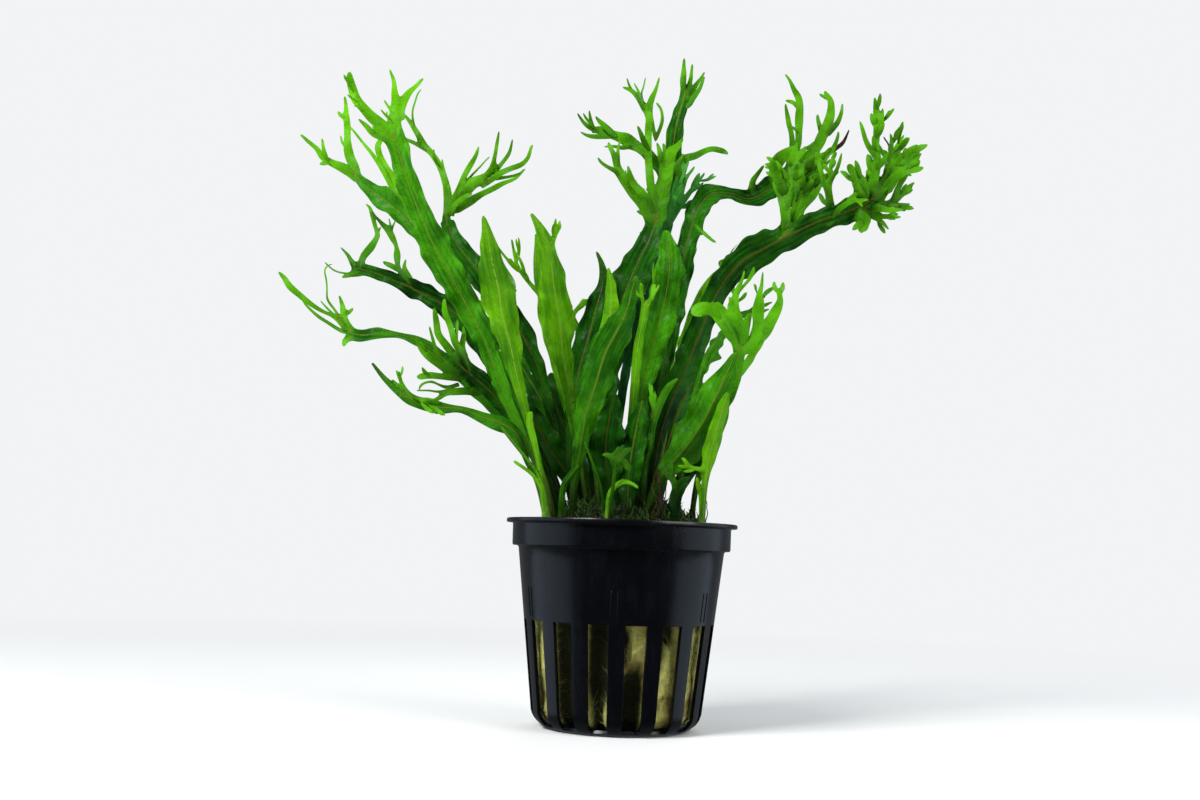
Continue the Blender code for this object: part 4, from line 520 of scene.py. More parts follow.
        (4, [(55.5, 124, 2.2), (55.5, 129, 2.1), (56, 132, 1.8), (56.5, 134.5, 1.5), (58, 137, 0.6)]),
        (7, [(56.5, 124, 2.2), (58.5, 130, 1.9), (60.5, 133.5, 1.6), (62, 137, 0.6)]),
        (-12, [(46.5, 120.5, 1.6), (47.5, 122, 1.3), (49.5, 123, 1.2), (50.5, 123, 1), (51.5, 120.5, 0.4)]),
        (4, [(36, 123.5, 2.4), (37.5, 128, 3.1), (39, 132.5, 3.1), (39.5, 136, 2.4), (40.5, 139, 1.3),
          (41.5, 140.5, 0.4)]),
        (8, [(39.5, 124, 2.4), (42, 129, 2.7), (44.5, 132.5, 2.4), (47, 134, 1.6), (48.5, 136, 0.4)]),
        (-4, [(36, 127, 2.4), (34.5, 130, 2.4), (33, 132, 1.9), (32, 133.5, 1), (30.5, 133.5, 0.3)]),
        (2, [(37.5, 127, 2.1), (36.5, 131, 2), (35, 134, 1.5), (34, 136.5, 0.4)]),
        (9, [(40, 129.5, 2.4), (42.5, 133.5, 2.4), (44.5, 137, 1.9), (46.5, 139, 1.2), (48.5, 140.5, 0.4)]),
        (5, [(38.5, 131, 2.1), (40.5, 134, 1.7), (42.5, 136.5, 1.2), (43.5, 139, 0.4)]),
    ]),
    "frond_right_mid_crest": dict(tone="bright", depth=(-6, -21), turn=-14, stem=[(16, 50.5, 1.2), (17, 57.5, 1.4),
        (19, 64.5, 1.9), (20.5, 70.5, 2.8), (22, 75.5, 3), (24, 79.5, 2.5), (25, 83.5, 2.3), (25, 88, 2.5)], arms=[
        (-4, [(25, 87, 2.2), (24, 90, 2.7), (22.5, 92, 2.8), (20.5, 94.5, 2.8), (19, 96, 2.5), (17, 96.5, 2.6),
          (15, 96, 2.9), (13.5, 95.5, 2)]),
        (-7, [(20.5, 94.5, 1.8), (19, 95.5, 1.6), (17.5, 97, 1.1)]),
        (4, [(25.5, 87.5, 2.6), (25, 91, 3.2), (24, 95, 3.6), (23.5, 98, 2.8), (24, 100.5, 1.6), (24.5, 102.5, 1),
          (25.5, 104.5, 0.7), (26, 107, 0.3)]),
        (7, [(24.5, 101.5, 0.8), (26, 103.5, 0.7), (27.5, 105.5, 0.8), (28.5, 107.5, 0.9), (29, 109.5, 0.3)]),
        (1, [(25, 90.5, 3), (23, 94.5, 3), (20.5, 97, 2.5), (19.5, 99, 1)]),
        (-3, [(26, 87.5, 2.2), (28, 90, 2.4), (29, 93.5, 2.5), (29, 96, 2.7), (29, 98.5, 2.2), (29, 100.5, 1.3),
          (29.5, 102.5, 0.8), (29.5, 105.5, 0.3)]),
        (5, [(25, 87, 2.2), (27.5, 89.5, 3), (30, 92, 3.2), (32, 95, 3), (33.5, 97.5, 2.5), (34.5, 100, 1.6),
          (34.5, 102, 1.1), (34, 103.5, 1.2)]),
        (2, [(34.5, 102, 1.1), (33.5, 104, 1), (33.5, 105.5, 0.6)]),
        (6, [(34.5, 102.5, 1.1), (35.5, 104, 1.2), (36, 106, 0.6)]),
        (-1, [(25.5, 89, 2), (26, 92, 2.1), (26.5, 94.5, 1.8), (27.5, 96.5, 0.6)]),
        (8, [(24, 82, 2.6), (26, 84, 2.2), (28, 86.5, 1.8), (29, 88.5, 1.7), (30.5, 90.5, 1.5), (32, 92.5, 0.4)]),
        (0, [(23.5, 97, 1.2), (23, 99, 0.9), (22.5, 100.5, 0.4)]),
    ]),
    "frond_right_lower": dict(tone="bright", depth=(-12, -23), turn=14, stem=[(5, 52, 1.4), (7.5, 57, 2.6),
        (10.5, 61.5, 5), (14, 66, 8), (17.5, 71.5, 9.4), (20, 77, 8), (22, 82, 4.6), (24, 87, 0.9)], arms=[]),
    "frond_right_lime": dict(tone="lime", depth=(-15, -21), turn=32, stem=[(18, 50, 1.1), (18.2, 56, 1.4),
        (18.6, 61, 2.6), (19.4, 65.5, 3.4), (20.4, 70, 3.4), (21.6, 74.5, 2.6), (22.6, 78, 1)], arms=[
        (-3, [(17.5, 60.5, 1), (14.5, 61, 0.8), (12.5, 63, 0.5)]),
    ]),
    "frond_right_stem": dict(tone="lime", depth=(-12, -15), turn=-32, stem=[(18, 49.5, 1.2), (18, 54, 1.4),
        (17, 57, 1.1), (16.5, 59, 0.7)], arms=[]),
    "frond_right_dark_low": dict(tone="dark", depth=(-17, -21.5), turn=20, stem=[(12, 50, 1.6), (11.5, 53.5, 2.7),
        (12.5, 56.5, 2.5), (14.5, 58.5, 0.9)], arms=[
        (-2, [(12, 55, 1.3), (10.5, 58, 1.1), (9.5, 60.5, 0.7)]),
    ]),
    "frond_front_curl": dict(tone="lime", depth=(-18, -24), turn=-44, stem=[(-4, 50, 0.9), (-3.5, 53.5, 1.1),
        (-2.5, 55.5, 1.1), (-0.5, 57, 1.1), (1.5, 56.5, 0.9), (3, 55.5, 0.7)], arms=[]),
    "frond_front_stem": dict(tone="bright", depth=(-16, -20.5), turn=26, stem=[(-4, 51.5, 0.55), (-5.5, 56, 0.55),
        (-7, 60, 0.55), (-8.5, 63.5, 0.55), (-9.5, 66, 0.6)], arms=[]),
    "frond_front_small_crest": dict(tone="bright", depth=(-20, -26), turn=-14, stem=[(-3.5, 55, 0.7),
        (-2.5, 58.5, 0.9), (-2.5, 61.5, 2), (-1.5, 64.5, 0.9)], arms=[
        (-2, [(-2.5, 61.5, 1.5), (-4, 62.5, 1.1), (-5.5, 62.5, 0.5)]),
        (2, [(-2, 62, 1.9), (-0.5, 63.5, 1.4), (1.5, 64.5, 0.6)]),
        (1, [(-2, 61.5, 2.3), (-0.5, 61, 1.8), (1, 59.5, 1.1)]),
    ]),
    "frond_center_thin_bright": dict(tone="bright", depth=(-10.5, -23), turn=14, stem=[(4, 53.5, 1.2),
        (4.5, 60.5, 1.4), (5.5, 65.5, 1.6), (6, 70.5, 1.6), (7.5, 75.5, 1.8), (9, 78.5, 1.6),
        (11, 80.5, 0.7)], arms=[
        (-3, [(6.5, 71.5, 1), (6, 74.5, 0.8), (6, 78, 0.5)]),
    ]),
    "frond_back_blade_left": dict(tone="dark", depth=(9, 25), turn=-32, stem=[(-7.5, 52.5, 1.5), (-12, 61.5, 2.5),
        (-16, 71.5, 4), (-19.5, 79, 3.6), (-22.5, 85, 1)], arms=[]),
    "frond_back_blade_center": dict(tone="dark", depth=(12, 29.5), turn=32, stem=[(-5, 52.5, 1.5), (-8.5, 61.5, 2.5),
        (-13, 69, 4.3), (-16.5, 78.5, 4.6), (-19.5, 87.5, 1.6)], arms=[]),
    "frond_left_short": dict(tone="bright", depth=(-14.5, -19.5), turn=20, stem=[(-14.5, 50, 1.1), (-14, 55, 1.4),
        (-12.5, 58, 1.6), (-10.5, 60.5, 0.6)], arms=[]),
    "frond_left_stems": dict(tone="mid", depth=(-8, -9.5), turn=-26, stem=[(-16.5, 50, 0.8), (-17.5, 55, 0.8),
        (-19, 59.5, 0.8), (-20, 64, 0.6)], arms=[]),
    "frond_back_lime_crest": dict(tone="lime", depth=(11, 24), turn=-20, stem=[(8, 54, 1.2), (9.5, 67, 1.2),
        (11, 80, 1.5), (11.5, 89.5, 2), (11.5, 95, 2.1)], arms=[
        (-2, [(11.5, 93, 0.9), (10.5, 95, 0.8), (10, 97.5, 0.5)]),
        (3, [(12, 93, 0.9), (13, 95.5, 0.8), (14, 98, 0.5)]),
    ]),
    "frond_center_lime_crest": dict(tone="lime", depth=(-8, -16.5), turn=-44, stem=[(-0.5, 52, 1.2), (0.5, 64, 1.4),
        (1.5, 75.5, 1.9), (2, 87, 2.1), (3, 94.5, 1.8), (3.5, 99, 1.8)], arms=[
        (-2, [(3.5, 97.5, 1), (2.5, 100, 0.8), (2, 103, 0.5)]),
        (3, [(3.5, 98, 1), (5, 100.5, 0.8), (5.5, 104, 0.5)]),
    ]),
    "frond_right_sliver": dict(tone="lime", depth=(4.5, 2.5), turn=14, stem=[(8, 53, 1.2), (9, 66.5, 1.7),
        (10.5, 77.5, 2.2), (12.5, 85, 2.4), (14, 93.5, 2.7), (16.5, 101.5, 2.4), (18.5, 106.5, 1.7),
        (21, 110.5, 0.5)], arms=[]),
    "frond_right_club": dict(tone="bright", depth=(-7, -10), turn=-20, stem=[(12.5, 52, 1.2), (14, 65.5, 1.2),
        (15.5, 76, 1.4), (17, 82.5, 1.4), (18.5, 87.5, 1.6), (20, 90.5, 1.4)], arms=[]),
    "frond_left_dark_low": dict(tone="dark", depth=(-1.3, -2), turn=-14, stem=[(-8.5, 51.5, 1.7), (-12.5, 58, 3.1),
        (-17, 64, 4.5), (-20.5, 69.5, 4.8), (-23.5, 74, 3.1), (-25.5, 77, 1)], arms=[]),
    "frond_left_dark_inner": dict(tone="dark", depth=(6, 12), turn=38, stem=[(-6.5, 51.5, 1.7), (-10.5, 61, 3.4),
        (-14, 69, 4.9), (-17, 76, 4.4), (-19, 82, 1.2)], arms=[]),
    "frond_center_dark_low": dict(tone="dark", depth=(-9, -13.5), turn=-26, stem=[(-2, 51, 2.1), (-3.5, 58, 4.4),
        (-4.5, 64.5, 5.8), (-4, 71.5, 5.1), (-3, 78, 1.2)], arms=[]),
    "frond_center_mid_low": dict(tone="mid", depth=(-14, -18.5), turn=-38, stem=[(1, 51, 1.8), (1, 57.5, 3.4),
        (1.5, 64, 4.3), (2.5, 70.5, 3.4), (3.5, 76, 0.9)], arms=[]),
    "frond_right_dark_inner": dict(tone="dark", depth=(8.5, 13.5), turn=32, stem=[(8.5, 53, 1.7), (9, 60.5, 3.4),
        (11, 69, 5.2), (13.5, 77.5, 5.7), (16.5, 84, 4), (18.5, 90, 1)], arms=[]),
    "frond_right_dark_under": dict(tone="dark", depth=(-4, -8.5), turn=-14, stem=[(10.5, 51.5, 1.4), (13.5, 58, 2.6),
        (16.5, 64, 3.8), (19, 69.5, 3.5), (21, 74.5, 0.9)], arms=[]),
    # behind the clump, in planes turned by plane degrees about the upright axis
    "frond_back_left": dict(tone="mid", plane=128, depth=(3, 14), turn=8, stem=[(11, 50, 1.4), (14.5, 60, 1.8),
        (19, 70, 3.2), (25, 81, 5.4), (31, 90, 5.6), (36, 97, 4)], arms=[
        (-5, [(35.5, 95.5, 2.3), (37, 102, 1.7), (35, 108, 0.7)]),
        (5, [(35.5, 96, 2.5), (41, 101, 1.8), (45, 107, 0.8)]),
    ]),
    "frond_back_center": dict(tone="dark", plane=92, depth=(-5, -9), turn=-10, stem=[(12, 50, 1.6), (15, 66, 2.2),
        (20, 84, 4), (26, 101, 6.4), (33, 117, 6), (38, 129, 4)], arms=[
        (-6, [(37.5, 127, 2.5), (36, 137, 1.8), (32, 145, 0.8)]),
        (6, [(37.5, 128, 2.5), (44, 135, 1.8), (48, 145, 0.8)]),
        (2, [(36, 124, 1.9), (44, 126, 1.4), (51, 131, 0.7)]),
    ]),
    "frond_back_right": dict(tone="bright", plane=58, depth=(1, -5), turn=10, stem=[(12, 50, 1.4), (16, 62, 1.8),
        (23, 76, 3.4), (32, 89, 5.4), (41, 99, 4.6), (48, 106, 3)], arms=[
        (4, [(47, 105, 2.1), (50, 114, 1.6), (49, 123, 0.7)]),
        (-4, [(47, 105, 2.1), (56, 109, 1.6), (62, 116, 0.7)]),
    ]),
}


leafForm = dict(
    step=0.6, marginStep=0.3, fillStep=0.65, keepOff=0.25,                        # fineness of the mesh
    fullness=1.02, ripple=0.12, rippleLengths=((9, 18), (4.5, 7.5)),              # how the margins run
    wave=0.55, waveLength=(9, 14), fold=0.45, armWave=0.35, tipCurl=0.8,          # how the blade undulates
    thickness=0.34, footThickness=1.1, footShare=0.25, rounding=0.5,              # section of the blade
    ribHeight=0.2, ribHalf=0.2,
    webRounds=8, endRound=0.5, rootNeck=(0.35, 1.3), rim=0.09,                    # webs at forks, round ends
    forkAt=(0.42, 0.62), forkFrom=3.4, forkLean=(16, 30), forkWidth=0.85,         # forked ends in the sheet
    tineEvery=3.6, tineMissing=0.1, tineLean=(14, 42), tineOut=(0.35, 1.0),       # tines that leave the sheet
    tineLength=(3.0, 6.5), tineWidth=(1.0, 0.3), crowding=0.25, layerGap=0.3,
    twigStep=0.4, twigFrom=3.4, rootedBy=1.4, fresh=0.42, tipGlow=0.35, paleFoot=0,
)
depthPower, turnShare = 1.4, 0.33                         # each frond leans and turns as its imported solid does
leastHalf = 0.15                                          # no route counts as narrower than this
bare = dict(forkFrom=99, tineEvery=99)                    # their routes hold every point of the crest
leafWays = {
    "frond_left_tall": dict(fresh=0.8, tipGlow=1.0, paleFoot=0.2, **bare),
    "frond_left_upper": dict(fresh=0.85, tipGlow=1.0, **bare),
    "frond_left_forked": dict(tipGlow=0.75, **bare),
    "frond_left_dark_long": dict(tipGlow=0.45, **bare),
    "frond_left_low_long": dict(fresh=0.6, tipGlow=0.8, paleFoot=0.35, **bare),
    "frond_left_mid_crest": dict(tipGlow=0.6, **bare),
    "frond_left_low": dict(fresh=0.8, tipGlow=0.8, paleFoot=0.35),
    "frond_left_bright": dict(paleFoot=0.25),
    "frond_left_stems": dict(paleFoot=0.45),
    "frond_left_short": dict(paleFoot=0.25),
    "frond_center_tall": dict(tipGlow=0.45, **bare),
    "frond_center_broad": dict(fresh=0.55, tipGlow=0.65, **bare),
    "frond_right_mid_crest": dict(fresh=0.5, tipGlow=0.6, **bare),
    "frond_right_lower": dict(fresh=0.75, tipGlow=0.4),
    "frond_right_arch_upper": dict(fullness=1.1, fresh=0.6, tipGlow=0.65, deadArms=(8,), **bare),
    "frond_right_big_arch": dict(fullness=1.1, fresh=0.55, tipGlow=0.6, deadArms=(9,), forkFrom=7,
                                 tineEvery=3.2, tineLength=(2.2, 4.8), tineWidth=(1.25, 0.3), tineLean=(16, 38)),
    "frond_right_center_column": dict(fresh=0.6),
    "frond_front_fiddle": dict(paleFoot=1, **bare),
    "frond_front_curl": dict(paleFoot=0.7),
    "frond_front_thin": dict(paleFoot=0.4),
    "frond_right_stem": dict(paleFoot=0.8),
    "frond_right_lime": dict(paleFoot=0.5),
}
broad = {
    1.35: ("left_dark_low", "center_dark_low", "center_mid_low"),
    1.3: ("left_dark_inner", "right_dark_inner", "right_dark_under", "back_blade_left", "back_blade_center"),
}
leafWays |= {"frond_" + label: dict(fullness=full) for full, labels in broad.items() for label in labels}


def unit(vectors):
    return vectors / np.maximum(np.linalg.norm(vectors, axis=1), 1e-12)[:, None]


def cross(a, b):
    return a[..., 0] * b[..., 1] - a[..., 1] * b[..., 0]


def acrossOf(route):
    # unit vectors to the right of a flat route
    ahead = unit(np.gradient(route[:, :2], axis=0))
    return np.column_stack([ahead[:, 1], -ahead[:, 0]])


def swing(turns):
    return np.sin(2 * math.pi * turns)


def extended(points):
    # one more point past each end
    return np.vstack([2 * points[0] - points[1], points, 2 * points[-1] - points[-2]])


def curveAt(a, b, c, d, t):
    # the smooth curve from b to c, with a before it and d after it
    return 0.5 * (2 * b + (c - a) * t + (2 * a - 5 * b + 4 * c - d) * t**2 + (3 * b - a - 3 * c + d) * t**3)


def runLengths(line):
    return np.concatenate([[0], np.cumsum(np.hypot(*np.diff(line[:, :2], axis=0).T))])


def pointsAt(line, run, at):
    return np.column_stack([np.interp(at, run, column) for column in line.T])


def smoothRoute(points, step):
    points = np.array(points, float)
    ends = extended(points)
    t = np.linspace(0, 1, 8, endpoint=False)[:, None]
    curves = [curveAt(*four, t) for four in zip(ends, ends[1:], ends[2:], ends[3:])]
    fine = np.vstack([*curves, points[-1:]])
    run = runLengths(fine)
    return pointsAt(fine, run, np.linspace(0, run[-1], max(3, round(run[-1] / step)) + 1))


def nearestOn(route, points):
    # signed distance, share of the length and half width at each point's nearest place on a route
    start, step = route[:-1, :2], np.diff(route[:, :2], axis=0)
    rel = points[:, None, :] - start
    t = np.clip((rel * step).sum(2) / (step**2).sum(1), 0, 1)
    off = rel - t[..., None] * step
    distance = np.hypot(off[..., 0], off[..., 1])
    k = distance.argmin(1)
    rows = np.arange(len(points))
    t, off, distance = t[rows, k], off[rows, k], distance[rows, k]
    half = (route[k, 2] + (route[k + 1, 2] - route[k, 2]) * t) / 2
    return np.copysign(distance, cross(off, step[k])), (k + t) / (len(route) - 1), half


def branchDepth(branch, side, share, slope):
    if branch["stem"]:
        return branch["start"] + branch["lean"] * share**depthPower + side * slope * np.minimum(1, share / turnShare)
    return branch["start"] + branch["lean"] * share


def readBranches(branches, points, slope):
    # depth and place on the blade at flat points, where the nearest branch counts most
    total = 0
    sums = dict.fromkeys(("depth", "along", "side", "tine", "half", "stem", "dead"), 0)
    nearest = np.full((3, len(points)), 1e9)
    for branch in branches:
        side, share, half = nearestOn(branch["route"], points)
        half = np.maximum(half, leastHalf)
        nearest = np.where(np.abs(side) / half < nearest[0], (np.abs(side) / half, np.abs(side), half), nearest)
        weight = 1 / (0.1 + (side / half) ** 2) ** 3
        found = dict(depth=branchDepth(branch, side, share, slope), along=branch["from"] + share * branch["length"],
                     side=side, half=half, stem=float(branch["stem"]), dead=branch["dead"],
                     tine=0 if branch["stem"] else 0.3 + 0.7 * share)
        total = total + weight
        for label, value in found.items():
            sums[label] = sums[label] + weight * value
    read = {label: value / total for label, value in sums.items()}
    read["share"] = nearestOn(branches[0]["route"], points)[1]
    read["off"], read["reach"] = nearest[1:]
    return read


def newBranch(points, start, lean, since, step, dead=0.0):
    route = smoothRoute(points, step)
    return dict(route=route, start=start, lean=lean, stem=False, layered=False, dead=dead,
                length=runLengths(route)[-1], **{"from": since})


def addBranch(branches, points, lean, slope, step, dead=0.0):
    read = readBranches(branches, np.array([points[0][:2]], float), slope)
    branches.append(newBranch(points, float(read["depth"][0]), lean, float(read["along"][0]), step, dead))


def sideRoute(arm, share, lean, length, widths):
    # a curved side route that leaves an arm and turns back towards its direction
    route = arm["route"]
    at = min(int(share * (len(route) - 1)), len(route) - 2)
    ahead = Vector(route[at + 1, :2] - route[at, :2]).normalized()
    foot = Vector(route[at, :2])
    wide = min(widths[0], route[at, 2] * 0.9)
    points = [(*foot, wide)]
    for bend, part, left in ((1, 0.42, 0.9), (0.6, 0.34, 0.6), (0.25, 0.24, 0)):
        step = ahead.copy()
        step.rotate(Matrix.Rotation(lean * bend, 2))
        foot = foot + step * length * part
        points.append((*foot, widths[1] + (wide - widths[1]) * left))
    return points


def forkArms(branches, way, slope, dice):
    # splits the end of each arm in the sheet into two or three points
    for arm in [branch for branch in branches if not branch["stem"]]:
        turn = dice.choice((-1, 1))
        forks = way["forkAt"] if arm["length"] > 1.7 * way["forkFrom"] else way["forkAt"][1:]
        for share in forks if arm["length"] > way["forkFrom"] and not arm["dead"] else ():
            share += dice.uniform(-0.06, 0.06)
            turn = -turn
            lean = turn * math.radians(dice.uniform(*way["forkLean"]))
            length = arm["length"] * (1 - share) * dice.uniform(0.7, 1.1)
            widths = arm["route"][:, 2]
            wide = way["forkWidth"] * np.interp(share * (len(widths) - 1), range(len(widths)), widths)
            points = sideRoute(arm, share, lean, length, (wide, way["tineWidth"][1]))
            extra = arm["lean"] * 0.4 + dice.uniform(-0.3, 0.3) * length
            addBranch(branches, points, extra, slope, way["twigStep"], arm["dead"])


def looseTines(arms, way, dice):
    # tines that leave the sheet of the crest, each one or two points long
    tines = []
    for arm in arms:
        count = 0 if arm["dead"] else int((arm["length"] - 1) / way["tineEvery"])
        turn = dice.choice((-1, 1))
        for k in range(count):
            turn = -turn
            if dice.random() < way["tineMissing"]:
                continue
            share = 0.12 + 0.8 * (k + dice.random()) / count
            length = min(dice.uniform(*way["tineLength"]), arm["length"] * 0.8)
            lean = turn * math.radians(dice.uniform(*way["tineLean"]))
            widths = (way["tineWidth"][0] * dice.uniform(0.85, 1.2), way["tineWidth"][1])
            points = sideRoute(arm, share, lean, length, widths)
            start, since = arm["start"] + arm["lean"] * share, arm["from"] + share * arm["length"]
            out = dice.choice((-1, 1)) * dice.uniform(*way["tineOut"]) * length
            tine = [newBranch(points, start, out, since, way["twigStep"], arm["dead"])]
            tine[0]["layered"] = True
            if length > way["twigFrom"]:
                side = -turn * math.radians(dice.uniform(*way["forkLean"]))
                twig = sideRoute(tine[0], dice.uniform(0.35, 0.5), side, length * 0.5, way["tineWidth"])
                addBranch(tine, twig, out * 0.4, 0, way["twigStep"], arm["dead"])
            tines.append(tine)
    return tines


def nearness(branches, point):
    spot = np.array([point[:2]], float)
    reads = [nearestOn(branch["route"], spot) for branch in branches]
    return min(float(abs(side[0]) / max(half[0], leastHalf)) for side, _, half in reads)


def crowded(arm, others, way):
    late = arm["route"][int(len(arm["route"]) * 0.3):]
    close = np.zeros(len(late), bool)
    for other in others:
        side, _, half = nearestOn(other["route"], late[:, :2])
        close |= np.abs(side) < half + late[:, 2] / 2 + 0.1
    return close.mean() > way["crowding"]


def ribbonSides(branch, way, dice, hasCrest):
    route = branch["route"]
    run, across, half = runLengths(route), acrossOf(route), route[:, 2] / 2
    if branch["layered"]:
        neck, reach = way["rootNeck"]
        half = half * np.clip(neck + (1 - neck) * run / reach, 0, 1)
    if not (branch["stem"] and hasCrest):
        near = np.clip((run[-1] - run) / max(way["endRound"] * route[-1, 2], 0.45), 0, 1)
        half = half * (0.1 + 0.9 * np.sqrt(1 - (1 - near) ** 2))
    blade = np.clip((route[:, 2] - 1.4) / 1.6, 0, 1)
    sides = []
    for direction in (-1, 1):
        swell = 0
        for lengths in way["rippleLengths"]:
            length, phase, slow = dice.uniform(*lengths), dice.random(), dice.random()
            strength = 0.65 + 0.35 * swing(run / length / 2.7 + slow)
            swell = swell + strength * swing(run / length + phase)
        grown = half * (1 + blade * (way["fullness"] - 1 + way["ripple"] * swell))
        sides.append(route[:, :2] + direction * across * grown[:, None])
    return sides


def insideQuads(points, quads):
    inside = np.zeros(len(points), bool)
    for corners in ((0, 1, 2), (0, 2, 3)):
        a, b, c = (quads[:, k] for k in corners)
        turns = [cross(end - start, points[:, None, :] - start) for start, end in ((a, b), (b, c), (c, a))]
        least, most = np.minimum.reduce(turns), np.maximum.reduce(turns)
        inside |= ((least > 0) | (most < 0)).any(1)
    return inside


def outlineLoops(ribbons):
    # the closed outlines of overlapping ribbons, as they would be cut from one sheet
    corners, quads = [], []
    for left, right in ribbons:
        base, count = len(corners), len(left)
        corners += [Vector(p) for p in (*left, *right)]
        for i in range(base, base + count - 1):
            quads.append([i, i + count, i + count + 1, i + 1])
    flat = geometry.delaunay_2d_cdt(corners, [], quads, 0, 0.01, False)
    spots = np.array([tuple(p) for p in flat[0]])
    faces = [face for face in flat[2] if len(face) == 3]
    quads = np.array([[tuple(corners[k]) for k in quad] for quad in quads])
    filled = insideQuads(spots[np.array(faces)].mean(1), quads)
    edges = {(a, b) for face, full in zip(faces, filled) if full for a, b in zip(face, [*face[1:], face[0]])}
    after = {}
    for a, b in sorted(edges):
        if (b, a) not in edges:
            after.setdefault(a, []).append(b)
    loops = []
    while after:
        here = next(iter(after))
        loop = []
        while here in after:
            loop.append(here)
            onward = after[here]
            here = onward.pop()
            if not onward:
                del after[loop[-1]]
        loops.append(spots[loop])
    return loops


def loopArea(loop):
    return float(cross(loop, np.roll(loop, -1, 0)).sum() / 2)


def evenLoop(loop, step):
    closed = np.vstack([loop, loop[:1]])
    run = runLengths(closed)
    return pointsAt(closed, run, np.linspace(0, run[-1], max(8, int(run[-1] / step)), endpoint=False))


def webbed(loop, rounds):
    # grows a web in each fork and hardly touches the points
    for _ in range(rounds):
        before, after = np.roll(loop, 1, 0), np.roll(loop, -1, 0)
        pull = np.where(cross(loop - before, after - loop) < 0, 0.5, 0.06)
        loop = loop + pull[:, None] * ((before + after) / 2 - loop)
    return loop


def insideLoops(points, loops):
    inside = np.zeros(len(points), bool)
    for loop in loops:
        following = np.roll(loop, -1, 0)
        for i in range(0, len(points), 3000):
            x, z = points[i : i + 3000, :1], points[i : i + 3000, 1:]
            spans = (loop[:, 1] > z) != (following[:, 1] > z)
            rise = np.where(following[:, 1] == loop[:, 1], 1e-9, following[:, 1] - loop[:, 1])
            crossing = loop[:, 0] + (z - loop[:, 1]) / rise * (following[:, 0] - loop[:, 0])
            inside[i : i + 3000] ^= (spans & (x < crossing)).sum(1) % 2 == 1
    return inside


def treeOf(points):
    tree = kdtree.KDTree(len(points))
    for k, point in enumerate(points):
        tree.insert((*point, 0), k)
    tree.balance()
    return tree


def farFrom(tree, points):
    found = [tree.find((*point, 0))[2] for point in points]
    return np.array([9.0 if distance is None else distance for distance in found])


def ribPoints(branches, way):
    rows = []
    for branch in branches:
        route = branch["route"]
        rows.append(route[:, :2])
        if branch["stem"]:
            across = acrossOf(route) * way["ribHalf"] * 1.3
            wide = route[:, 2] > 2
            rows += [route[wide, :2] + across[wide], route[wide, :2] - across[wide]]
    return np.vstack(rows)


def thinned(points, least):
    # drops points that crowd an earlier one
    cells, kept = {}, []
    for point in points:
        cell = (int(point[0] // least), int(point[1] // least))
        crowd = [cells.get((cell[0] + i, cell[1] + k)) for i in (-1, 0, 1) for k in (-1, 0, 1)]
        if all(other is None or math.dist(other, point) > least for other in crowd):
            cells[cell] = point
            kept.append(point)
    return np.array(kept).reshape(-1, 2)


def fillPoints(loops, branches, way):
    margin = treeOf(np.vstack(loops))
    ribs = ribPoints(branches, way)
    ribs = ribs[(farFrom(margin, ribs) > way["keepOff"]) & insideLoops(ribs, loops)]
    ribs = thinned(ribs, way["keepOff"])
    step = way["fillStep"]
    low, high = np.vstack(loops).min(0), np.vstack(loops).max(0)
    rows = np.arange(low[1], high[1], step * 0.866)
    grid = np.array([
        (x + (row % 2) * step / 2, z) for row, z in enumerate(rows) for x in np.arange(low[0], high[0], step)
    ]).reshape(-1, 2)
    near = np.zeros(len(grid), bool)
    for branch in branches:
        side, _, half = nearestOn(branch["route"][::2], grid)
        near |= np.abs(side) < half * 1.25 + 0.6
    grid = grid[near]
    grid = grid[insideLoops(grid, loops)]
    grid = grid[farFrom(margin, grid) > way["keepOff"]]
    grid = grid[farFrom(treeOf(ribs), grid) > way["keepOff"]]
    return np.vstack([ribs, grid]), margin


def bladeMesh(loops, inner):
    points, edges = [], []
    for loop in loops:
        base, count = len(points), len(loop)
        points += [Vector(p) for p in loop]
        edges += [(base + i, base + (i + 1) % count) for i in range(count)]
    points += [Vector(p) for p in inner]
    flat = geometry.delaunay_2d_cdt(points, edges, [], 0, 0.001, False)
    corners = np.array([tuple(p) for p in flat[0]])
    faces = np.array([f for f in flat[2] if len(f) == 3])
    faces = faces[insideLoops(corners[faces].mean(1), loops)]
    used, faces = np.unique(faces, return_inverse=True)
    return corners[used], faces.reshape(-1, 3)


def sheetNormals(points, faces):
    a, b, c = (points[faces[:, k]] for k in range(3))
    flat = np.cross(b - a, c - a)
    normals = np.zeros_like(points)
    for k in range(3):
        np.add.at(normals, faces[:, k], flat)
    return unit(normals)


def rimEdges(faces):
    # the directed edges that only one face has
    edges = np.vstack([faces[:, [0, 1]], faces[:, [1, 2]], faces[:, [2, 0]]])
    _, first, counts = np.unique(np.sort(edges, axis=1), axis=0, return_index=True, return_counts=True)
    return edges[first[counts == 1]]


def makePiece(name, points, faces, finish, node, slotName, smoothTo=40, **attributes):
    mesh = bpy.data.meshes.new(name)
    mesh.from_pydata((np.asarray(points) * mm).tolist(), [], faces if isinstance(faces, list) else faces.tolist())
    shape = bmesh.new()
    shape.from_mesh(mesh)
    bmesh.ops.recalc_face_normals(shape, faces=shape.faces[:])
    shape.to_mesh(mesh)
    shape.free()
    for label, values in attributes.items():
        layer = mesh.attributes.new(label, "FLOAT_VECTOR", "POINT")
        layer.data.foreach_set("vector", np.asarray(values, np.float32).ravel())
    mesh.shade_smooth()
    mesh.set_sharp_from_angle(angle=math.radians(smoothTo))
    mesh.materials.append(finish)
    piece = bpy.data.objects.new(name, mesh)
    bpy.context.scene.collection.objects.link(piece)
    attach(piece, "root")
    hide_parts(node)
    return piece


